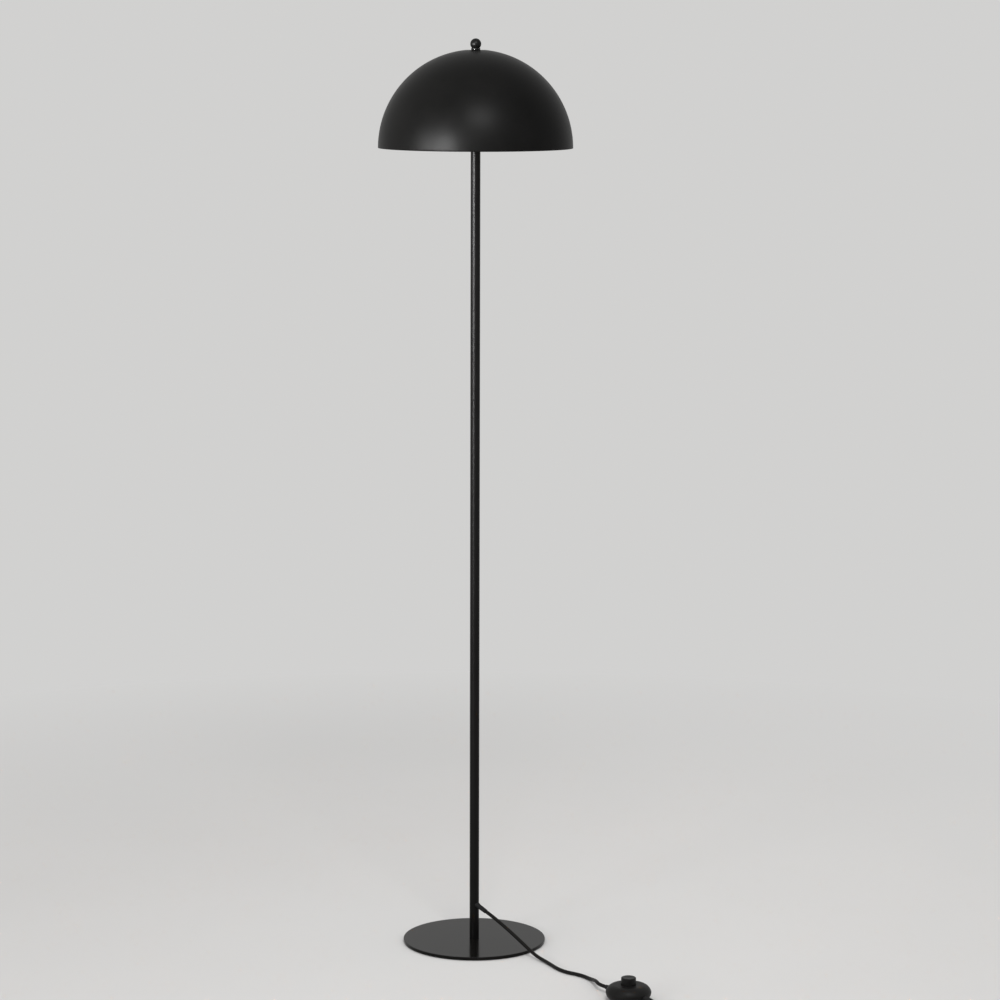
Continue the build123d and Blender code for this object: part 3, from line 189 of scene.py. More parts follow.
# Plated or turned metal: brushed rings round its axis, faint tarnish and small scratches.
def plated(name, colour, tarnish, rough, ringScale=2600.0):
    material, where = startMaterial(name)
    rings = where.noise(ringScale, 2.0, 0.5, (0.04, 0.04, 1.0))
    cloud = where.noise(90.0, 4.0, 0.6)
    scratches = where.noise(900.0, 3.0, 0.6, (1.0, 0.08, 0.3))
    finishMaterial(
        where,
        {"Metallic": 1.0},
        {
            "Base Color": cloud.between(0.4, 0.75).blend((*colour, 1.0), (*tarnish, 1.0)),
            "Roughness": rings.between(0.3, 0.7, rough - 0.05, rough + 0.06)
            + scratches.between(0.6, 0.7, 0.0, 0.08),
            "Normal": bumped(rings, 0.000006),
        },
    )
    return material


# Moulded plastic or rubber: a spark-eroded grain, flow marks and light handling wear.
def moulded(name, colour, paler, rough, grainScale, grainDepth):
    material, where = startMaterial(name)
    grain = where.speckle(grainScale, 0.9)
    flow = where.noise(45.0, 3.0, 0.6, (1.0, 1.0, 0.5))
    rubbed = where.noise(260.0, 4.0, 0.7).between(0.52, 0.72)
    finishMaterial(
        where,
        {"IOR": 1.49, "Specular IOR Level": 0.15},
        {
            "Base Color": (flow.between(0.35, 0.7) * 0.7).blend((*colour, 1.0), (*paler, 1.0)),
            "Roughness": flow.between(0.3, 0.7, rough - 0.04, rough + 0.04) - rubbed * 0.07,
            "Normal": bumped(grain + flow * 0.6, grainDepth),
        },
    )
    return material


# Closed-cell foam: open pits of two sizes in a dull sheet, with painted shade darkening the small pits.
def foamed(name, colour, shadedPits):
    material, where = startMaterial(name)
    cells = where.speckle(1400.0, 1.0)
    coarse = where.speckle(420.0, 1.0)
    finishMaterial(
        where,
        {"IOR": 1.4},
        {
            # Painted shade: the colour turns darker towards the middle of each small pit.
            "Base Color": cells.between(0.0, 0.5).blend((*shadedPits, 1.0), (*colour, 1.0)),
            "Roughness": coarse.between(0.0, 0.6, 0.98, 0.86),
            "Normal": bumped(cells + coarse * 0.8, 0.0002),
        },
    )
    return material


# Clear glass with a little waviness, which makes lights in it run rather than stand still. It glows
# with the warm light of the filament inside.
def clear(name, tint, rough, waveDepth, glow):
    material, where = startMaterial(name)
    waves = where.noise(70.0, 2.0, 0.5)
    smear = where.noise(180.0, 3.0, 0.6).between(0.5, 0.75)
    finishMaterial(
        where,
        {
            "Transmission Weight": 1.0,
            "IOR": 1.47,
            "Emission Strength": glow,
            "Emission Color": (1.0, 0.4, 0.13, 1.0),
        },
        {
            "Base Color": smear.blend((*tint, 1.0), (tint[0], tint[1] * 0.99, tint[2] * 0.97, 1.0)),
            "Roughness": smear * 0.03 + rough,
            "Normal": bumped(waves, waveDepth),
        },
    )
    return material


# The glowing filament, hotter in its middle than at its joints.
def glowing(name, hot, cool, middle, reach, strength):
    material, where = startMaterial(name)
    beads = where.speckle(900.0, 0.6)
    rise = where.part("Z") - middle
    heat = rise * rise / (reach * reach)
    finishMaterial(
        where,
        {"Emission Strength": strength},
        {
            "Base Color": beads.between(0.0, 0.5).blend((*hot, 1.0), (*cool, 1.0)),
            "Roughness": beads.between(0.0, 0.6, 0.4, 0.6),
            "Emission Color": heat.between(0.3, 1.2).blend((*hot, 1.0), (*cool, 1.0)),
        },
    )
    return material


# Quads of a grid in which the point of row r and column c has the number r * columns + c.
def gridFaces(rows, columns, closeRows=False, closeColumns=False):
    low = np.arange(rows if closeRows else rows - 1)
    left = np.arange(columns if closeColumns else columns - 1)
    low, left = np.meshgrid(low, left, indexing="ij")
    high = (low + 1) % rows
    right = (left + 1) % columns
    corners = [(low, left), (low, right), (high, right), (high, left)]
    numbers = [row * columns + column for row, column in corners]
    return np.stack(numbers, axis=-1).reshape(-1, 4).tolist()


# Profile points in which each corner (x, y, radius) becomes an arc that is tangent to its two sides.
def rounded(corners, closed=False, steps=5):
    points = []
    for index, (x, y, radius) in enumerate(corners):
        here = np.array([x, y])
        if radius == 0 or (not closed and index in (0, len(corners) - 1)):
            points.append(here)
            continue
        before = np.array(corners[index - 1][:2]) - here
        after = np.array(corners[(index + 1) % len(corners)][:2]) - here
        before = before / np.linalg.norm(before)
        after = after / np.linalg.norm(after)
        half = math.acos(float(np.clip(before @ after, -1, 1))) / 2
        middle = before + after
        centre = here + middle / np.linalg.norm(middle) * radius / math.sin(half)
        start = here + before * radius / math.tan(half) - centre
        end = here + after * radius / math.tan(half) - centre
        swing = math.pi - 2 * half
        share = np.linspace(0, 1, steps)[:, None]
        bend = np.sin((1 - share) * swing) * start + np.sin(share * swing) * end
        points.extend(centre + bend / math.sin(swing))
    return np.array(points)


# Points of an arc round a centre, from one angle to another, in degrees.
def arc(centre, radius, first, last, steps):
    angles = np.radians(np.linspace(first, last, steps))
    return np.stack([centre[0] + radius * np.cos(angles), centre[1] + radius * np.sin(angles)], axis=-1)


# Points that are local to a place and a pair of directions, in the frame of the scene.
def placed(points, origin, alongX=(1.0, 0.0, 0.0), alongZ=(0.0, 0.0, 1.0)):
    alongX = np.array(alongX, float)
    alongZ = np.array(alongZ, float)
    axes = np.stack([alongX, np.cross(alongZ, alongX), alongZ])
    return np.asarray(points, float) @ axes + np.array(origin, float)


# Turns a profile of (radius, height) points: a closed loop, or an open line from axis to axis.
def turnedShape(profile, segments=96, closed=False):
    profile = np.asarray(profile, float)
    line = profile if closed else profile[1:-1]
    angles = np.linspace(0, 2 * math.pi, segments, endpoint=False)
    radii, across = np.meshgrid(line[:, 0], angles, indexing="ij")
    heights = np.repeat(line[:, 1], segments)
    flat = [(radii * np.cos(across)).ravel(), (radii * np.sin(across)).ravel()]
    points = np.stack([*flat, heights], axis=-1)
    faces = gridFaces(len(line), segments, closeRows=closed, closeColumns=True)
    if closed:
        return points, faces
    near = np.arange(segments)
    beside = (near + 1) % segments
    bottom = len(points)
    top = bottom + 1
    lastRow = (len(line) - 1) * segments
    points = np.vstack([points, [0, 0, profile[0][1]], [0, 0, profile[-1][1]]])
    faces += np.stack([np.full(segments, bottom), beside, near], axis=-1).tolist()
    faces += np.stack([np.full(segments, top), lastRow + near, lastRow + beside], axis=-1).tolist()
    return points, faces


# Carries rings of points into a closed tube with flat ends: one ring a row.
def skinned(rings):
    rows, columns = rings.shape[:2]
    points = rings.reshape(-1, 3)
    faces = gridFaces(rows, columns, closeColumns=True)
    faces.append(list(range(columns))[::-1])
    faces.append(list(range((rows - 1) * columns, rows * columns)))
    return points, faces


# Several shapes as one.
def joined(*shapes):
    points = np.vstack([shape[0] for shape in shapes])
    faces = []
    start = 0
    for shape in shapes:
        faces += [[start + corner for corner in face] for face in shape[1]]
        start += len(shape[0])
    return points, faces


# Makes the object of a piece, gives it its slot's finish, and hangs it on its body in place of its
# CAD nodes.
def makePiece(facts, shape):
    points, faces = shape
    mesh = bpy.data.meshes.new(facts["name"])
    mesh.from_pydata(np.asarray(points, float).tolist(), [], faces)
    mesh.shade_smooth()
    mesh.set_sharp_from_angle(angle=math.radians(facts.get("sharp", 38)))
    mesh.materials.append(finishes[facts["slot"]])
    piece = bpy.data.objects.new(facts["name"], mesh)
    scene.collection.objects.link(piece)
    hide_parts(*facts["nodes"])
    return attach(piece, facts.get("body", "stand"))


print("helpers ready")

# One finish for each slot of the record. The depths of the grain, peel and waves are in metres.
finishes = {
    "shade_paint": paint(
        "shadePaint", (0.002, 0.002, 0.0019), (0.003, 0.0029, 0.0028),
        rough=0.4, peelScale=1500.0, peelDepth=0.00003, shine=0.07,
    ),
    "pole_paint": paint(
        "polePaint", (0.0026, 0.0025, 0.0024), (0.0038, 0.0036, 0.0035),
        rough=0.33, peelScale=1700.0, peelDepth=0.00002, shine=0.1,
    ),
    "base_paint": paint(
        "basePaint", (0.0035, 0.0033, 0.003), (0.005, 0.0047, 0.0043),
        rough=0.16, peelScale=1300.0, peelDepth=0.00001, shine=0.09,
    ),
    "finial_paint": paint(
        "finialPaint", (0.0022, 0.0022, 0.0022), (0.0034, 0.0033, 0.0032),
        rough=0.38, peelScale=1800.0, peelDepth=0.00002, shine=0.12,
    ),
    # The foam's second colour is the painted shade in its pits.
    "foam": foamed("baseFoam", (0.03, 0.03, 0.031), (0.012, 0.012, 0.012)),
    "zinc_steel": plated("zincSteel", (0.62, 0.62, 0.60), (0.42, 0.41, 0.38), rough=0.32),
    "soft_black": moulded(
        "softBlack", (0.010, 0.010, 0.0105), (0.017, 0.0165, 0.016),
        rough=0.55, grainScale=2400.0, grainDepth=0.00002,
    ),
    "lead_sheath": moulded(
        "leadSheath", (0.0034, 0.003, 0.0027), (0.006, 0.0054, 0.005),
        rough=0.5, grainScale=2100.0, grainDepth=0.000015,
    ),
    "holder_plastic": moulded(
        "holderPlastic", (0.012, 0.012, 0.012), (0.02, 0.0195, 0.019),
        rough=0.42, grainScale=1900.0, grainDepth=0.000012,
    ),
    "insulator": moulded(
        "insulator", (0.55, 0.52, 0.46), (0.43, 0.40, 0.34),
        rough=0.45, grainScale=1600.0, grainDepth=0.00001,
    ),
    "brass": plated("brass", (0.72, 0.52, 0.23), (0.45, 0.30, 0.12), rough=0.3),
    "core_wires": moulded(
        "coreWires", (0.05, 0.09, 0.32), (0.09, 0.13, 0.38),
        rough=0.45, grainScale=2600.0, grainDepth=0.00001,
    ),
    "bulb_metal": plated(
        "bulbMetal", (0.70, 0.70, 0.69), (0.52, 0.51, 0.48),
        rough=0.28, ringScale=3200.0,
    ),
    "bulb_clear": clear("bulbGlass", (1.0, 0.985, 0.96), rough=0.02, waveDepth=0.00004, glow=150.0),
    "stem_glass": clear("stemGlass", (0.97, 0.98, 0.97), rough=0.08, waveDepth=0.0001, glow=30.0),
    "filament": glowing(
        "filament", (1.0, 0.50, 0.16), (1.0, 0.30, 0.06),
        middle=1.4265, reach=0.012, strength=60.0,
    ),
    "support_wire": plated(
        "supportWire", (0.55, 0.54, 0.52), (0.38, 0.36, 0.34),
        rough=0.35, ringScale=3600.0,
    ),
    "switch_plastic": moulded(
        "switchPlastic", (0.005, 0.0048, 0.0046), (0.009, 0.0086, 0.0083),
        rough=0.5, grainScale=2000.0, grainDepth=0.000012,
    ),
    "button_plastic": moulded(
        "buttonPlastic", (0.0045, 0.0043, 0.0042), (0.008, 0.0077, 0.0074),
        rough=0.4, grainScale=2300.0, grainDepth=0.000008,
    ),
    "rubber_feet": moulded(
        "rubberFeet", (0.014, 0.014, 0.014), (0.022, 0.0215, 0.021),
        rough=0.75, grainScale=1800.0, grainDepth=0.00003,
    ),
    "strap": moulded(
        "strapWeave", (0.012, 0.012, 0.012), (0.03, 0.029, 0.028),
        rough=0.85, grainScale=1300.0, grainDepth=0.00025,
    ),
    "plug_plastic": moulded(
        "plugPlastic", (0.0105, 0.0105, 0.011), (0.018, 0.0175, 0.017),
        rough=0.46, grainScale=2000.0, grainDepth=0.00002,
    ),
    "pin_metal": plated(
        "pinMetal", (0.74, 0.72, 0.68), (0.55, 0.52, 0.46),
        rough=0.2, ringScale=3000.0,
    ),
    "sleeve_plastic": moulded(
        "sleevePlastic", (0.011, 0.011, 0.0115), (0.017, 0.0165, 0.016),
        rough=0.4, grainScale=2600.0, grainDepth=0.000006,
    ),
}
for entry in frame["record"]["subparts"]:
    node = frame["nodes"][entry["node"]]
    node.data.materials.clear()
    node.data.materials.append(finishes[entry["material_slot"]])
print("finishes made")

# The shade: a spun hemisphere of 1 mm sheet with a small flat crown and a softened rim. Its arcs
# start and end a hair, in degrees, from the edges, which leaves room for the softened corners.
shadeRadius = 160 * mm
shadeWall = 1 * mm
crownRadius = 16 * mm
crownTop = 1499.6 * mm
rimHeight = crownTop - math.sqrt(shadeRadius**2 - crownRadius**2)
studHole = 3.5 * mm
rimAngle = 0.15
outerTrim = 0.55
innerTrim = 0.5
outerEnd = math.degrees(math.acos(crownRadius / shadeRadius)) - outerTrim
innerRadius = shadeRadius - shadeWall
innerEnd = math.degrees(math.asin((crownTop - shadeWall - rimHeight) / innerRadius)) - innerTrim
shadeProfile = np.vstack(
    [
        arc((0, rimHeight), shadeRadius, rimAngle, outerEnd, steps=90),
        [[crownRadius - 0.6 * mm, crownTop], [studHole + 0.2 * mm, crownTop]],
        [[studHole, crownTop - 0.2 * mm], [studHole, crownTop - shadeWall]],
        arc((0, rimHeight), innerRadius, innerEnd, rimAngle, steps=90),
        [[innerRadius + 0.25 * mm, rimHeight], [shadeRadius - 0.25 * mm, rimHeight]],
    ]
)
shade = {"name": "shadeDome", "nodes": ["shade"], "slot": "shade_paint", "sharp": 50}
makePiece(shade, turnedShape(shadeProfile, segments=192, closed=True))

# The collar under the ball that holds the shade, with softened outer edges.
finialBore = 3.05 * mm
collarRadius = 7.4 * mm
collarFoot = 1499.7 * mm
collarTop = 1502.7 * mm
collarProfile = rounded(
    [
        (finialBore, collarFoot, 0.0),
        (collarRadius, collarFoot, 0.35 * mm),
        (collarRadius, collarTop, 0.5 * mm),
        (finialBore, collarTop, 0.0),
    ],
    closed=True,
)
collar = {"name": "finialCollar", "nodes": ["finial_washer"], "slot": "finial_paint", "body": "washer"}
makePiece(collar, turnedShape(collarProfile, segments=96, closed=True))

# The ball of the finial: a flat foot with a bore for the stud, then the sphere, whose arc starts a
# little above the foot's edge.
ballCentre = 1509.32 * mm
ballRadius = 9 * mm
ballFoot = 1502.8 * mm
boreEnd = 1513.2 * mm
footTrim = 1.5
footAngle = -math.degrees(math.asin((ballCentre - ballFoot) / ballRadius))
ballProfile = np.vstack(
    [
        [[0, boreEnd], [finialBore - 0.05 * mm, boreEnd], [finialBore, boreEnd - 0.1 * mm]],
        [[finialBore, ballFoot + 0.3 * mm], [finialBore + 0.3 * mm, ballFoot], [5.9 * mm, ballFoot]],
        arc((0, ballCentre), ballRadius, footAngle + footTrim, 89, steps=60),
        [[0, ballCentre + ballRadius]],
    ]
)
ball = {"name": "finialBall", "nodes": ["finial"], "slot": "finial_paint", "body": "finial"}
makePiece(ball, turnedShape(ballProfile, segments=96))
print("shade and finial made")

# The pole: three lengths of tube whose ends are broken by a hair, so the seams show up close. A ring
# of points near each end keeps the shading of the edge off the long plain stretch.
baseTop = 5.8 * mm
sectionLength = 444 * mm
poleRadius = 8 * mm
poleBore = 7 * mm
seamEdge = 0.2 * mm
holdRing = 0.8 * mm
for index, name in enumerate(["pole_lower", "pole_middle", "pole_upper"]):
    low = baseTop + index * sectionLength
    high = low + sectionLength
    tube = rounded(
        [
            (poleBore, low, 0.0),
            (poleRadius, low, seamEdge),
            (poleRadius, low + holdRing, 0.0),
            (poleRadius, high - holdRing, 0.0),
            (poleRadius, high, seamEdge),
            (poleBore, high, 0.0),
        ],
        closed=True,
        steps=4,
    )
    section = {"name": "poleSection" + str(index + 1), "nodes": [name], "slot": "pole_paint"}
    makePiece(section, turnedShape(tube, segments=64, closed=True))

# The base disc: 5 mm plate with softened edges, countersunk from below for its screw. It has such a
# ring on its top face as well.
discRadius = 120 * mm
discUnder = 0.8 * mm
discHoldRing = 1.8 * mm
discProfile = rounded(
    [
        (4.05 * mm, baseTop, 0.0),
        (4.05 * mm, 4.3 * mm, 0.0),
        (7.55 * mm, discUnder, 0.0),
        (discRadius, discUnder, 0.7 * mm),
        (discRadius, baseTop, 0.9 * mm),
        (discRadius - discHoldRing, baseTop, 0.0),
    ],
    closed=True,
    steps=6,
)
disc = {"name": "baseDisc", "nodes": ["base_plate"], "slot": "base_paint"}
makePiece(disc, turnedShape(discProfile, segments=256, closed=True))
print("pole and base made")


# Profile of a strain relief: a taper whose rings are cut in as smooth grooves, then its bored tip.
def reliefProfile(start, end, wide, narrow, bore, grooves):
    along = np.linspace(0, 1, 121)
    taper = wide + (narrow - wide) * along
    wave = np.cos(2 * math.pi * grooves * along)
    band = np.clip((along - 0.06) / 0.05, 0, 1) * np.clip((0.94 - along) / 0.05, 0, 1)
    grooveDepth = 0.42 * mm
    cut = grooveDepth * np.clip(wave - 0.25, 0, 1) / 0.75 * band
    skin = np.stack([taper - cut, start + (end - start) * along], axis=-1)[:-1]
    tip = [[narrow - 0.05 * mm, end - 0.12 * mm], [narrow - 0.3 * mm, end], [bore, end]]
    return np.vstack([skin, tip])


# Points of the arc that starts at one point, passes a second and ends at a third.
def arcThrough(first, second, third, steps):
    corners = np.array([first, second, third], float)
    sums = (corners**2).sum(axis=1)
    matrix = 2 * (corners[1:] - corners[0])
    centre = np.linalg.solve(matrix, sums[1:] - sums[0])
    spread = corners - centre
    angles = np.degrees(np.unwrap(np.arctan2(spread[:, 1], spread[:, 0])))
    return arc(centre, float(np.linalg.norm(spread[0])), angles[0], angles[2], steps)


# The gland in the pole's side. Its foot follows the tube. For each of its points, the distance along
# the gland's axis is the root of the tube's radius squared less the sideways offset squared, less the
# rise times the slope's sine, and all of it over the slope's cosine.
exitHeight = 66 * mm
exitAzimuth = math.radians(-46)
exitSlope = math.radians(18)
glandOut = np.array(
    [
        math.cos(exitSlope) * math.cos(exitAzimuth),
        math.cos(exitSlope) * math.sin(exitAzimuth),
        -math.sin(exitSlope),
    ]
)
glandSide = np.array([-math.sin(exitAzimuth), math.cos(exitAzimuth), 0.0])
glandBase = np.array([0.0, 0.0, exitHeight])
leadRadius = 3 * mm
glandBore = leadRadius + 0.08 * mm
glandLength = 30 * mm
footRadii = [glandBore, 3.9 * mm, 4.75 * mm]
glandProfile = np.vstack(
    [
        [[radius, 0.0] for radius in footRadii],
        [[4.75 * mm, 9.4 * mm], [4.6 * mm, 9.8 * mm], [4.4 * mm, 10 * mm], [4.15 * mm, 10.02 * mm]],
        reliefProfile(10.3 * mm, glandLength, wide=4.1 * mm, narrow=3.6 * mm, bore=glandBore, grooves=7),
    ]
)
glandSegments = 64
glandPoints, glandFaces = turnedShape(glandProfile, segments=glandSegments, closed=True)
foot = slice(0, glandSegments * len(footRadii))
across = glandPoints[foot, 0]
rise = glandPoints[foot, 1]
tubeSkin = poleRadius + 0.02 * mm
glandPoints[foot, 2] = (
    np.sqrt(tubeSkin**2 - across**2) - rise * math.sin(exitSlope)
) / math.cos(exitSlope)
gland = {"name": "leadGland", "nodes": ["cable_gland"], "slot": "soft_black"}
glandShape = (placed(glandPoints, glandBase, glandSide, glandOut), glandFaces)
makePiece(gland, glandShape)
print("gland made")


# A lead as one smooth spline with the route's points as its control points.
def makeLead(facts, points):
    data = bpy.data.curves.new(facts["name"], "CURVE")
    data.dimensions = "3D"
    spline = data.splines.new("NURBS")
    spline.points.add(len(points) - 1)
    corners = np.hstack([np.asarray(points, float), np.ones((len(points), 1))])
    spline.points.foreach_set("co", corners.ravel())
    spline.order_u = 3
    spline.use_endpoint_u = True
    spline.resolution_u = facts.get("steps", 12)
    data.bevel_depth = leadRadius
    data.bevel_resolution = 6
    data.use_fill_caps = True
    data.materials.append(finishes["lead_sheath"])
    lead = bpy.data.objects.new(facts["name"], data)
    scene.collection.objects.link(lead)
    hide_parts(*facts["nodes"])
    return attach(lead, "stand")


# The lead's run inside the pole, from the gland up to the lampholder.
glandTip = glandBase + glandOut * glandLength
inside = {"name": "leadInside", "nodes": ["inner_cable"]}
makeLead(
    inside,
    [
        glandBase + glandOut * 26 * mm,
        glandBase + glandOut * 13 * mm,
        glandBase,
        (0.0, 0.0, 0.080),
        (0.0, 0.0, 0.300),
        (0.0, 0.0, 1.3533),
    ],
)

# The foot switch's place, its forward direction along the lead, and its two reliefs' tips.
switchBase = np.array([249.0, -335.5, 0.0]) * mm
switchAzimuth = math.radians(-47)
switchForward = np.array([math.cos(switchAzimuth), math.sin(switchAzimuth), 0.0])
leadHeight = 10.5 * mm
switchMiddle = switchBase + np.array([0.0, 0.0, leadHeight])
reliefTip = 51 * mm
insideRelief = 8 * mm
switchRun = 15 * mm
upperRoute = [
    glandTip - glandOut * 4 * mm,
    glandTip + glandOut * 18 * mm,
    (0.0515, -0.0535, 0.0400),
    (0.0720, -0.0750, 0.0270),
    (0.0914, -0.0950, 0.0136),
    (0.1050, -0.1125, 0.0058),
    (0.1224, -0.1374, 0.0030),
    (0.1444, -0.1869, 0.0030),
    (0.1765, -0.2101, 0.0034),
    (0.1901, -0.2293, 0.0031),
    (0.1969, -0.2499, 0.0070),
    (0.1995, -0.2711, 0.0116),
    switchMiddle - switchForward * (reliefTip + switchRun),
    switchMiddle - switchForward * (reliefTip - insideRelief),
]
upper = {"name": "leadUpper", "nodes": ["cord_upper"]}
leadUpper = makeLead(upper, upperRoute)

# The put-away lead lies in half turns whose centres step to and fro, so each turn lies beside the last.
# A control point stands at the half turn's radius over the cosine of half its step, which keeps the
# spline on that radius; the middle half turn climbs to the upper layer.
coilCentre = np.array([291.2, -448.3]) * mm
coilAngle = math.radians(35)
coilOut = np.array([math.cos(coilAngle), math.sin(coilAngle)])
coilHeading = np.array([math.sin(coilAngle), -math.cos(coilAngle)])
lowLayer = 4.2 * mm
highLayer = 10.8 * mm
halfTurns = 11
middleTurn = halfTurns // 2
outerTurn = 41.2 * mm
turnStep = 3.35 * mm
turnRadii = outerTurn - turnStep * (middleTurn - np.abs(np.arange(halfTurns) - middleTurn))
straightEnd = 6 * mm
pointsPerHalf = 8
halfStep = math.pi / pointsPerHalf
sweepAngles = (np.arange(pointsPerHalf) + 0.5) * halfStep
coilPoints = []
knot = coilCentre + coilOut * turnRadii[0]
side = 1.0
for index, radius in enumerate(turnRadii):
    middle = knot - coilOut * side * radius
    reach = radius / math.cos(halfStep / 2)
    outward = np.outer(np.cos(sweepAngles), coilOut * side)
    onward = np.outer(np.sin(sweepAngles), coilHeading * side)
    flat = middle + reach * (outward + onward)
    share = (sweepAngles / math.pi)[:, None]
    start = lowLayer if index <= middleTurn else highLayer
    end = lowLayer if index < middleTurn else highLayer
    coilPoints.append(np.hstack([flat, start + (end - start) * share * share * (3 - 2 * share)]))
    knot = knot - coilOut * side * 2 * radius
    side = -side
coilStart = coilCentre + coilOut * turnRadii[0] - coilHeading * straightEnd
coilEnd = knot - coilHeading * straightEnd
plugTip = np.array([194.0, -446.5, 6.85]) * mm
plugAzimuth = math.radians(182)
plugForward = np.array([math.cos(plugAzimuth), math.sin(plugAzimuth), 0.0])
lowerRoute = [
    switchMiddle + switchForward * (reliefTip - insideRelief),
    switchMiddle + switchForward * (reliefTip + switchRun),
    (0.3046, -0.3964, 0.0070),
    (*(coilStart - coilHeading * 14 * mm), lowLayer),
    *np.vstack(coilPoints),
    (*(coilEnd - coilHeading * 16 * mm), highLayer),
    (0.2260, -0.4480, 0.0084),
    plugTip - plugForward * 16 * mm,
    plugTip + plugForward * 6 * mm,
]
lower = {"name": "leadLower", "nodes": ["cord_lower", "cord_coil", "cord_tail"], "steps": 8}
leadLower = makeLead(lower, lowerRoute)
print("leads made")


# A ring of points round a rounded rectangle: the corners' arcs, joined by its straight sides.
def roundedRing(width, height, corner, pointsPerCorner=9):
    corner = min(corner, width / 2, height / 2)
    angles = np.linspace(0, math.pi / 2, pointsPerCorner)
    ring = []
    for index, (signX, signY) in enumerate([(1, 1), (-1, 1), (-1, -1), (1, -1)]):
        centre = np.array([signX * (width / 2 - corner), signY * (height / 2 - corner)])
        swing = angles + index * math.pi / 2
        ring.append(centre + corner * np.stack([np.cos(swing), np.sin(swing)], axis=-1))
    return np.vstack(ring)


# The strap round the coil: a woven band with rounded edges, and its end laid back over the top.
strapWidth = 9 * mm
strapThickness = 0.9 * mm
strapInner = 21.88 * mm
strapOuter = 44.8 * mm
strapLow = 0.9 * mm
strapHigh = 14.1 * mm
bandLength = strapOuter - strapInner + strapThickness
bandHeight = strapHigh - strapLow + strapThickness
bandLoop = roundedRing(bandLength, bandHeight, 1.4 * mm, pointsPerCorner=8)
bandLoop = bandLoop + [(strapInner + strapOuter) / 2, (strapLow + strapHigh) / 2]
heading = np.roll(bandLoop, -1, axis=0) - np.roll(bandLoop, 1, axis=0)
heading = heading / np.linalg.norm(heading, axis=1)[:, None]
outwards = np.stack([heading[:, 1], -heading[:, 0]], axis=-1)
section = roundedRing(strapThickness, strapWidth, 0.35 * mm, pointsPerCorner=5)
band = bandLoop[:, None, :] + outwards[:, None, :] * section[None, :, :1]
widths = np.broadcast_to(section[None, :, 1:], (*band.shape[:2], 1))
bandPoints = np.concatenate([band[..., :1], -widths, band[..., 1:]], axis=-1).reshape(-1, 3)
bandFaces = gridFaces(len(bandLoop), len(section), closeRows=True, closeColumns=True)
bandFaces = [face[::-1] for face in bandFaces]
tailSteps = 25
tailAlong = np.linspace(0, 1, tailSteps)
tailX = strapInner + 2.5 * mm + (bandLength - 6 * mm) * tailAlong
tailZ = strapHigh + strapThickness + 0.45 * mm + 0.35 * mm * np.sin(math.pi * tailAlong) ** 2
tailRing = roundedRing(strapWidth - 0.6 * mm, 0.8 * mm, 0.3 * mm, pointsPerCorner=5)
tailRings = np.zeros((tailSteps, len(tailRing), 3))
tailRings[..., 0] = tailX[:, None]
tailRings[..., 1] = tailRing[None, :, 0]
tailRings[..., 2] = tailZ[:, None] + tailRing[None, :, 1]
strapShape = joined((bandPoints, bandFaces), skinned(tailRings))
strapPlace = (*coilCentre, 0.0)
strap = {"name": "coilStrap", "nodes": ["coil_tie"], "slot": "strap"}
strapAt = placed(strapShape[0], strapPlace, (*coilHeading, 0.0))
makePiece(strap, (strapAt, strapShape[1]))

# The switch's two shells, turned from one outline that is parted at the seam, whose edges are broken.
shellRadius = 36.5 * mm
bandLow = 12.5 * mm
bandHigh = 15 * mm
seam = leadHeight
footRadius = 28 * mm
belly = arcThrough((footRadius, mm), (33.6 * mm, 6 * mm), (shellRadius, bandLow), steps=40)
bellyInside = arcThrough((34.3 * mm, bandLow), (31.7 * mm, 7.6 * mm), (26.5 * mm, 3.2 * mm), steps=40)
lowBelly = belly[belly[:, 1] < seam - 0.35 * mm]
highBelly = belly[belly[:, 1] > seam + 0.35 * mm]
seamOutside = float(np.interp(seam, belly[:, 1], belly[:, 0]))
seamInside = float(np.interp(seam, bellyInside[::-1, 1], bellyInside[::-1, 0]))
lowerProfile = np.vstack(
    [
        [[0, 1.0 * mm], [footRadius - 0.3 * mm, 1.0 * mm]],
        lowBelly[1:],
        [[seamOutside - 0.3 * mm, seam], [seamInside, seam]],
        bellyInside[bellyInside[:, 1] < seam - 0.1 * mm],
        [[0, 3.2 * mm]],
    ]
)
shoulder = arcThrough((shellRadius, bandHigh), (32.1 * mm, 22.2 * mm), (22 * mm, 26 * mm), steps=40)
insideBand = (34.3 * mm, bandHigh)
shoulderInside = arcThrough((21.5 * mm, 23.8 * mm), (30.6 * mm, 20.6 * mm), insideBand, steps=40)
buttonHole = 12.35 * mm
upperProfile = np.vstack(
    [
        [[seamInside, seam], [seamOutside - 0.3 * mm, seam]],
        highBelly,
        shoulder,
        [[buttonHole + 1.1 * mm, 26.47 * mm], [buttonHole + 0.35 * mm, 26.35 * mm]],
        [[buttonHole, 25.9 * mm], [buttonHole, 24.3 * mm]],
        shoulderInside,
        bellyInside[bellyInside[:, 1] > seam + 0.1 * mm],
    ]
)
lowerShell = {
    "name": "switchLowerShell",
    "nodes": ["switch_lower_case"],
    "slot": "switch_plastic",
    "sharp": 30,
}
lowerPoints, lowerFaces = turnedShape(lowerProfile, segments=160)
makePiece(lowerShell, (placed(lowerPoints, switchBase), lowerFaces))
upperShell = {
    "name": "switchUpperShell",
    "nodes": ["switch_upper_case"],
    "slot": "switch_plastic",
    "sharp": 30,
}
upperPoints, upperFaces = turnedShape(upperProfile, segments=160, closed=True)
makePiece(upperShell, (placed(upperPoints, switchBase), upperFaces))

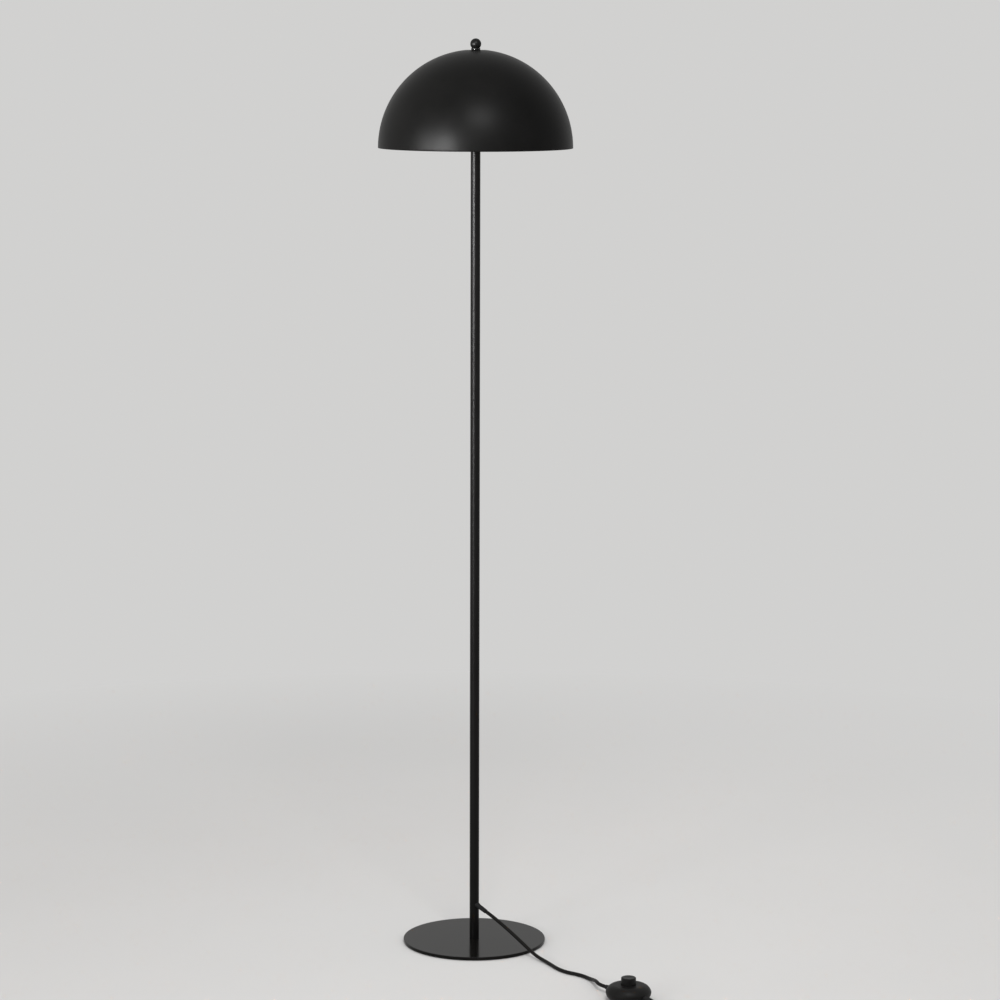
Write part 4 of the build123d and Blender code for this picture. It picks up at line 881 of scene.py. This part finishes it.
# The push button: a cup with a flange inside the case, a rounded edge and a shallow dish on top.
dishRadius = 10.2 * mm
dishDepth = 0.45 * mm
buttonTop = 37.98 * mm
dish = np.linspace(dishRadius, 0, 24)[1:]
dishHeight = buttonTop - dishDepth * (1 - (dish / dishRadius) ** 2) ** 2
buttonProfile = np.vstack(
    [
        [[0, 35.5 * mm], [10 * mm, 35.5 * mm], [10 * mm, 22 * mm], [14 * mm, 22 * mm]],
        [[14 * mm, 24 * mm], [12 * mm, 24 * mm]],
        arc((10.6 * mm, 36.6 * mm), 1.4 * mm, 0, 86, steps=12),
        np.stack([dish, dishHeight], axis=-1),
    ]
)
button = {
    "name": "switchButtonCap",
    "nodes": ["switch_button"],
    "slot": "button_plastic",
    "body": "foot_button",
}
buttonPoints, buttonFaces = turnedShape(buttonProfile, segments=128)
makePiece(button, (placed(buttonPoints, switchBase), buttonFaces))

# The return spring: rings of wire square to a helix that rises one pitch a turn.
springSeat = 9 * mm
springTop = 35.5 * mm
springTurns = 6
ringsPerTurn = 48
wireSides = 16
springWire = 0.6 * mm
springRadius = 7.9 * mm
climb = springTop - springSeat - 2 * springWire
turned = np.linspace(0, 2 * math.pi * springTurns, ringsPerTurn * springTurns + 1)
outward = np.stack([np.cos(turned), np.sin(turned), np.zeros(turned.shape)], axis=-1)
rising = climb / (2 * math.pi * springTurns)
along = np.stack([-springRadius * np.sin(turned), springRadius * np.cos(turned)], axis=-1)
along = np.hstack([along, np.full((len(turned), 1), rising)])
along = along / np.linalg.norm(along, axis=1)[:, None]
upward = np.cross(along, outward)
middles = springRadius * outward
middles[:, 2] = springSeat + springWire + rising * turned
girth = np.linspace(0, 2 * math.pi, wireSides, endpoint=False)[None, :, None]
springRings = middles[:, None] + springWire * (
    np.cos(girth) * outward[:, None] + np.sin(girth) * upward[:, None]
)
springPoints, springFaces = skinned(springRings)
spring = {"name": "returnSpring", "nodes": ["switch_spring"], "slot": "zinc_steel"}
springPiece = makePiece(spring, (placed(springPoints, switchBase), springFaces))
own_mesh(springPiece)

# The two strain reliefs of the switch, one turned the other way.
rootRadius = 4.5 * mm
reliefCore = reliefProfile(37.5 * mm, reliefTip, rootRadius, narrow=3.6 * mm, bore=glandBore, grooves=5)
reliefRoot = [[glandBore, 31 * mm], [rootRadius, 31 * mm], [rootRadius, 37 * mm]]
reliefPoints, reliefFaces = turnedShape(np.vstack([reliefRoot, reliefCore]), segments=64, closed=True)
bothReliefs = joined(
    (placed(reliefPoints, switchMiddle, (0, 0, 1), switchForward), reliefFaces),
    (placed(reliefPoints, switchMiddle, (0, 0, 1), -switchForward), reliefFaces),
)
reliefs = {"name": "switchReliefSleeves", "nodes": ["switch_reliefs"], "slot": "soft_black"}
makePiece(reliefs, bothReliefs)
print("strap and switch made")

# The plug: rings of rounded rectangles along its axis, from the relief's tip to the face. Its body
# flares from the relief to its full width, and the finger grips are cosine grooves across it.
reliefLength = 26 * mm
plugLength = 61 * mm
reliefGrooves = 6
flareLength = 22 * mm
faceEdge = 1 * mm
gripStart = 23 * mm
gripPitch = 3 * mm
gripDepth = 0.7 * mm
gripMiddle = gripStart + 1.5 * gripPitch
gripReach = 5.3 * mm
reliefAlong = np.linspace(0, 1, 90)
reliefWave = np.clip(np.cos(2 * math.pi * reliefGrooves * reliefAlong) - 0.2, 0, 1) / 0.8
reliefBand = np.clip((reliefAlong - 0.06) / 0.05, 0, 1) * np.clip((0.93 - reliefAlong) / 0.05, 0, 1)
reliefSize = 2 * (3.6 + 1.2 * reliefAlong - 0.45 * reliefWave * reliefBand) * mm
bodyAlong = np.linspace(0, 1, 70)[1:]
bodyRun = bodyAlong * (plugLength - reliefLength)
flare = np.clip(bodyRun / flareLength, 0, 1)
flare = flare * flare * (3 - 2 * flare) * 0.35 + flare * 0.65
edge = np.clip((bodyRun[-1] - bodyRun) / faceEdge, 0, 1)
edgeCut = (1 - np.sqrt(1 - (1 - edge) ** 2)) * 2 * mm
gripWave = np.clip(np.cos(2 * math.pi * (bodyRun - gripStart) / gripPitch), 0, 1)
grip = gripDepth * gripWave * (np.abs(bodyRun - gripMiddle) < gripReach)
bodyWidth = (14 + 21.3 * flare) * mm - edgeCut
bodyThick = (11 + 2.7 * flare) * mm - edgeCut - grip
plugRings = []
for size, share in zip(reliefSize, reliefAlong):
    ring = roundedRing(size, size, size / 2)
    plugRings.append(np.hstack([ring, np.full((len(ring), 1), share * reliefLength)]))
for width, thick, share in zip(bodyWidth, bodyThick, bodyAlong):
    ring = roundedRing(width, thick, min(5.4 * mm, thick / 2 - 0.2 * mm))
    place = reliefLength + share * (plugLength - reliefLength)
    plugRings.append(np.hstack([ring, np.full((len(ring), 1), place)]))
plugShape = skinned(np.array(plugRings))
plugSide = np.cross((0.0, 0.0, 1.0), plugForward)
plug = {"name": "plugMoulding", "nodes": ["plug_body"], "slot": "plug_plastic", "sharp": 50}
plugAt = placed(plugShape[0], plugTip, plugSide, plugForward)
plugMoulding = makePiece(plug, (plugAt, plugShape[1]))
print("plug made")

# The wire harp: a ring carried up one side, round two bends and down the other.
harpHalf = 28 * mm
harpFoot = 1339.3 * mm
harpTop = 1493.4 * mm
harpBend = 20 * mm
harpWireRadius = 2 * mm
harpSides = 24
leftBend = arc((-harpHalf + harpBend, harpTop - harpBend), harpBend, 180, 90, steps=17)
rightBend = arc((harpHalf - harpBend, harpTop - harpBend), harpBend, 90, 0, steps=17)
wirePath = np.vstack([[[-harpHalf, harpFoot]], leftBend, rightBend, [[harpHalf, harpFoot]]])
wireAim = np.gradient(wirePath, axis=0)
wireAim[0] = (0, 1)
wireAim[-1] = (0, -1)
wireAim = wireAim / np.linalg.norm(wireAim, axis=1)[:, None]
wireAngles = np.linspace(0, 2 * math.pi, harpSides, endpoint=False)
wireIn = np.cos(wireAngles) * harpWireRadius
wireAcross = np.sin(wireAngles) * harpWireRadius
wireRings = np.zeros((len(wirePath), harpSides, 3))
wireRings[..., 0] = wirePath[:, :1] + wireAim[:, 1:] * wireIn[None, :]
wireRings[..., 1] = wireAcross[None, :]
wireRings[..., 2] = wirePath[:, 1:] - wireAim[:, :1] * wireIn[None, :]
harp = {"name": "harpWire", "nodes": ["harp"], "slot": "zinc_steel"}
makePiece(harp, skinned(wireRings))

# The lampholder: a cap with a cone and ribbed grip, and a body whose lip is turned in.
holderRadius = 19.5 * mm
holderInside = 17.5 * mm
nippleHole = 5.05 * mm
capProfile = rounded(
    [
        (nippleHole, 1342.3 * mm, 0.0),
        (12.5 * mm, 1342.3 * mm, 1.2 * mm),
        (holderRadius, 1350.3 * mm, 2.2 * mm),
        (holderRadius, 1366.3 * mm, 0.3 * mm),
        (holderInside, 1366.3 * mm, 0.0),
        (holderInside, 1362.3 * mm, 0.0),
        (15.5 * mm, 1362.3 * mm, 0.0),
        (15.5 * mm, 1351.3 * mm, 0.8 * mm),
        (10.5 * mm, 1344.3 * mm, 0.5 * mm),
        (8.0 * mm, 1344.3 * mm, 0.0),
        (8.0 * mm, 1352.3 * mm, 0.0),
        (nippleHole, 1352.3 * mm, 0.0),
    ],
    closed=True,
)
ribs = 60
ribDepth = 0.012
capSegments = 6 * ribs
capPoints, capFaces = turnedShape(capProfile, segments=capSegments, closed=True)
capRadius = np.hypot(capPoints[:, 0], capPoints[:, 1])
ribBand = (capRadius > 19.3 * mm) & (capPoints[:, 2] > 1352 * mm) & (capPoints[:, 2] < 1366.1 * mm)
ribWave = np.cos(np.arctan2(capPoints[:, 1], capPoints[:, 0]) * ribs)
capPoints[:, :2] *= (1 - np.where(ribBand, ribDepth * (1 - ribWave), 0.0))[:, None]
cap = {"name": "holderCap", "nodes": ["holder_cap"], "slot": "holder_plastic"}
makePiece(cap, (capPoints, capFaces))
bodyProfile = rounded(
    [
        (holderInside, 1366.35 * mm, 0.0),
        (holderRadius, 1366.35 * mm, 0.3 * mm),
        (holderRadius, 1370.3 * mm, 0.2 * mm),
        (19.1 * mm, 1370.7 * mm, 0.1 * mm),
        (19.1 * mm, 1371.5 * mm, 0.1 * mm),
        (holderRadius, 1371.9 * mm, 0.2 * mm),
        (holderRadius, 1400.3 * mm, 1.1 * mm),
        (15.05 * mm, 1400.3 * mm, 0.5 * mm),
        (15.05 * mm, 1398.4 * mm, 0.2 * mm),
        (holderInside, 1398.4 * mm, 0.0),
    ],
    closed=True,
)
body = {"name": "holderBody", "nodes": ["holder_body"], "slot": "holder_plastic"}
makePiece(body, turnedShape(bodyProfile, segments=128, closed=True))

# The bulb's glass: the neck and the ball as one skin 0.8 mm thick, open below.
ballMiddle = 1429.3 * mm
glassRadius = 22.5 * mm
glassInside = 21.7 * mm
neckRadius = 11.3 * mm
neckInside = 10.5 * mm
neckBase = 1399.8 * mm
neckAngle = -math.degrees(math.acos(neckRadius / glassRadius))
neckInsideAngle = -math.degrees(math.acos(neckInside / glassInside))
glassProfile = np.vstack(
    [
        arc((0, ballMiddle), glassInside, 90, neckInsideAngle, steps=60),
        [[neckInside, neckBase + 0.1 * mm], [neckInside + 0.2 * mm, neckBase]],
        [[neckRadius - 0.2 * mm, neckBase], [neckRadius, neckBase + 0.2 * mm]],
        arc((0, ballMiddle), glassRadius, neckAngle, 90, steps=60),
    ]
)
glassProfile[0, 0] = 0.0
glassProfile[-1, 0] = 0.0
glass = {"name": "bulbBall", "nodes": ["bulb_glass"], "slot": "bulb_clear"}
makePiece(glass, turnedShape(glassProfile, segments=96))
print("harp, holder and bulb made")

# The leads are free cords: the first runs to the switch, and the second from it to the plug.
print("leads done")

# A pale floor that keeps the lamp's shadow near it and fades to the colour of the backdrop farther off.
paleTone = (0.64, 0.637, 0.63, 1.0)
fadeStart = 0.8
fadeEnd = 2.3
floorGap = 0.2 * mm
floorSides = 96
floorMesh = bpy.data.meshes.new("paleFloor")
floorRadii = np.array([1.0, 3.0, 8.0, 25.0, 120.0])
floorAngles = np.linspace(0, 2 * math.pi, floorSides, endpoint=False)
floorX = np.outer(floorRadii, np.cos(floorAngles)).ravel()
floorY = np.outer(floorRadii, np.sin(floorAngles)).ravel()
floorPoints = np.stack([floorX, floorY, np.full(floorX.shape, -floorGap)], axis=-1)
floorFaces = [face[::-1] for face in gridFaces(len(floorRadii), floorSides, closeColumns=True)]
floorFaces.append(list(range(floorSides)))
floorMesh.from_pydata(floorPoints.tolist(), [], floorFaces)
floor = bpy.data.objects.new("paleFloor", floorMesh)
scene.collection.objects.link(floor)
floorMaterial, floorWhere = startMaterial("paleFloor")
floorTone = floorWhere.noise(3.0, 3.0).blend((0.63, 0.627, 0.62, 1.0), (0.65, 0.647, 0.64, 1.0))
floorShader = floorWhere.node("ShaderNodeBsdfDiffuse", {"Color": floorTone})
floorGlow = floorWhere.node("ShaderNodeEmission", {"Color": paleTone})
floorAway = floorWhere.node("ShaderNodeVectorMath", {0: floorWhere}, 1, operation="LENGTH")
floorFade = floorAway.between(fadeStart, fadeEnd)
floorMix = floorWhere.node("ShaderNodeMixShader", {0: floorFade, 1: floorShader, 2: floorGlow})
floorWhere.node("ShaderNodeOutputMaterial", {"Surface": floorMix})
floorMesh.materials.append(floorMaterial)

# Plain studio light. An even dome lights everything, and what the camera, a mirror or glass shows of
# it is the pale backdrop.
domeStrength = 0.72
world = bpy.data.worlds.new("studio")
scene.world = world
world.use_nodes = True
worldTree = world.node_tree
worldTree.nodes.clear()
rays = worldTree.nodes.new("ShaderNodeLightPath").outputs
direct = Signal(worldTree, rays["Is Camera Ray"])
mirrored = Signal(worldTree, rays["Is Glossy Ray"])
through = Signal(worldTree, rays["Is Transmission Ray"])
shown = direct.maths("MAXIMUM", direct.maths("MAXIMUM", direct, mirrored), through)
dome = shown.node("ShaderNodeBackground", {"Color": (1.0, 1.0, 1.0, 1.0), "Strength": domeStrength})
backdrop = shown.node("ShaderNodeBackground", {"Color": paleTone, "Strength": 1.0})
worldMix = shown.node("ShaderNodeMixShader", {0: shown, 1: dome, 2: backdrop})
shown.node("ShaderNodeOutputWorld", {"Surface": worldMix})


# A soft rectangular light that faces a target. Its spread is in degrees, at most 180.
def softLight(name, place, target, width, height, power, spread=180):
    lamp = bpy.data.lights.new(name, "AREA")
    lamp.shape = "RECTANGLE"
    lamp.size = width
    lamp.size_y = height
    lamp.energy = power
    lamp.spread = math.radians(spread)
    holder = bpy.data.objects.new(name, lamp)
    aim = np.array(place, float) - np.array(target, float)
    aim = aim / np.linalg.norm(aim)
    right = np.cross((0.0, 0.0, 1.0), aim)
    right = right / np.linalg.norm(right)
    pose = np.eye(4)
    pose[:3, 0] = right
    pose[:3, 1] = np.cross(aim, right)
    pose[:3, 2] = aim
    pose[:3, 3] = place
    holder.matrix_world = Matrix(pose.tolist())
    scene.collection.objects.link(holder)


# A tall light at the front left and a weaker one beyond it spread little, so that they give the shade
# its highlights. A broad one above the front lights the rest.
shadeMiddle = (0.0, 0.0, 1.45)
poleMiddle = (0.0, 0.0, 0.9)
softLight("frontLeft", (-2.2, -3.1, 1.45), shadeMiddle, width=0.7, height=1.3, power=17.0, spread=36)
softLight("farLeft", (-3.2, -2.1, 1.45), shadeMiddle, width=0.9, height=1.0, power=6.0, spread=36)
softLight("aboveFront", (0.35, -2.7, 3.4), poleMiddle, width=1.3, height=0.9, power=72.0)
print("stage and light set")
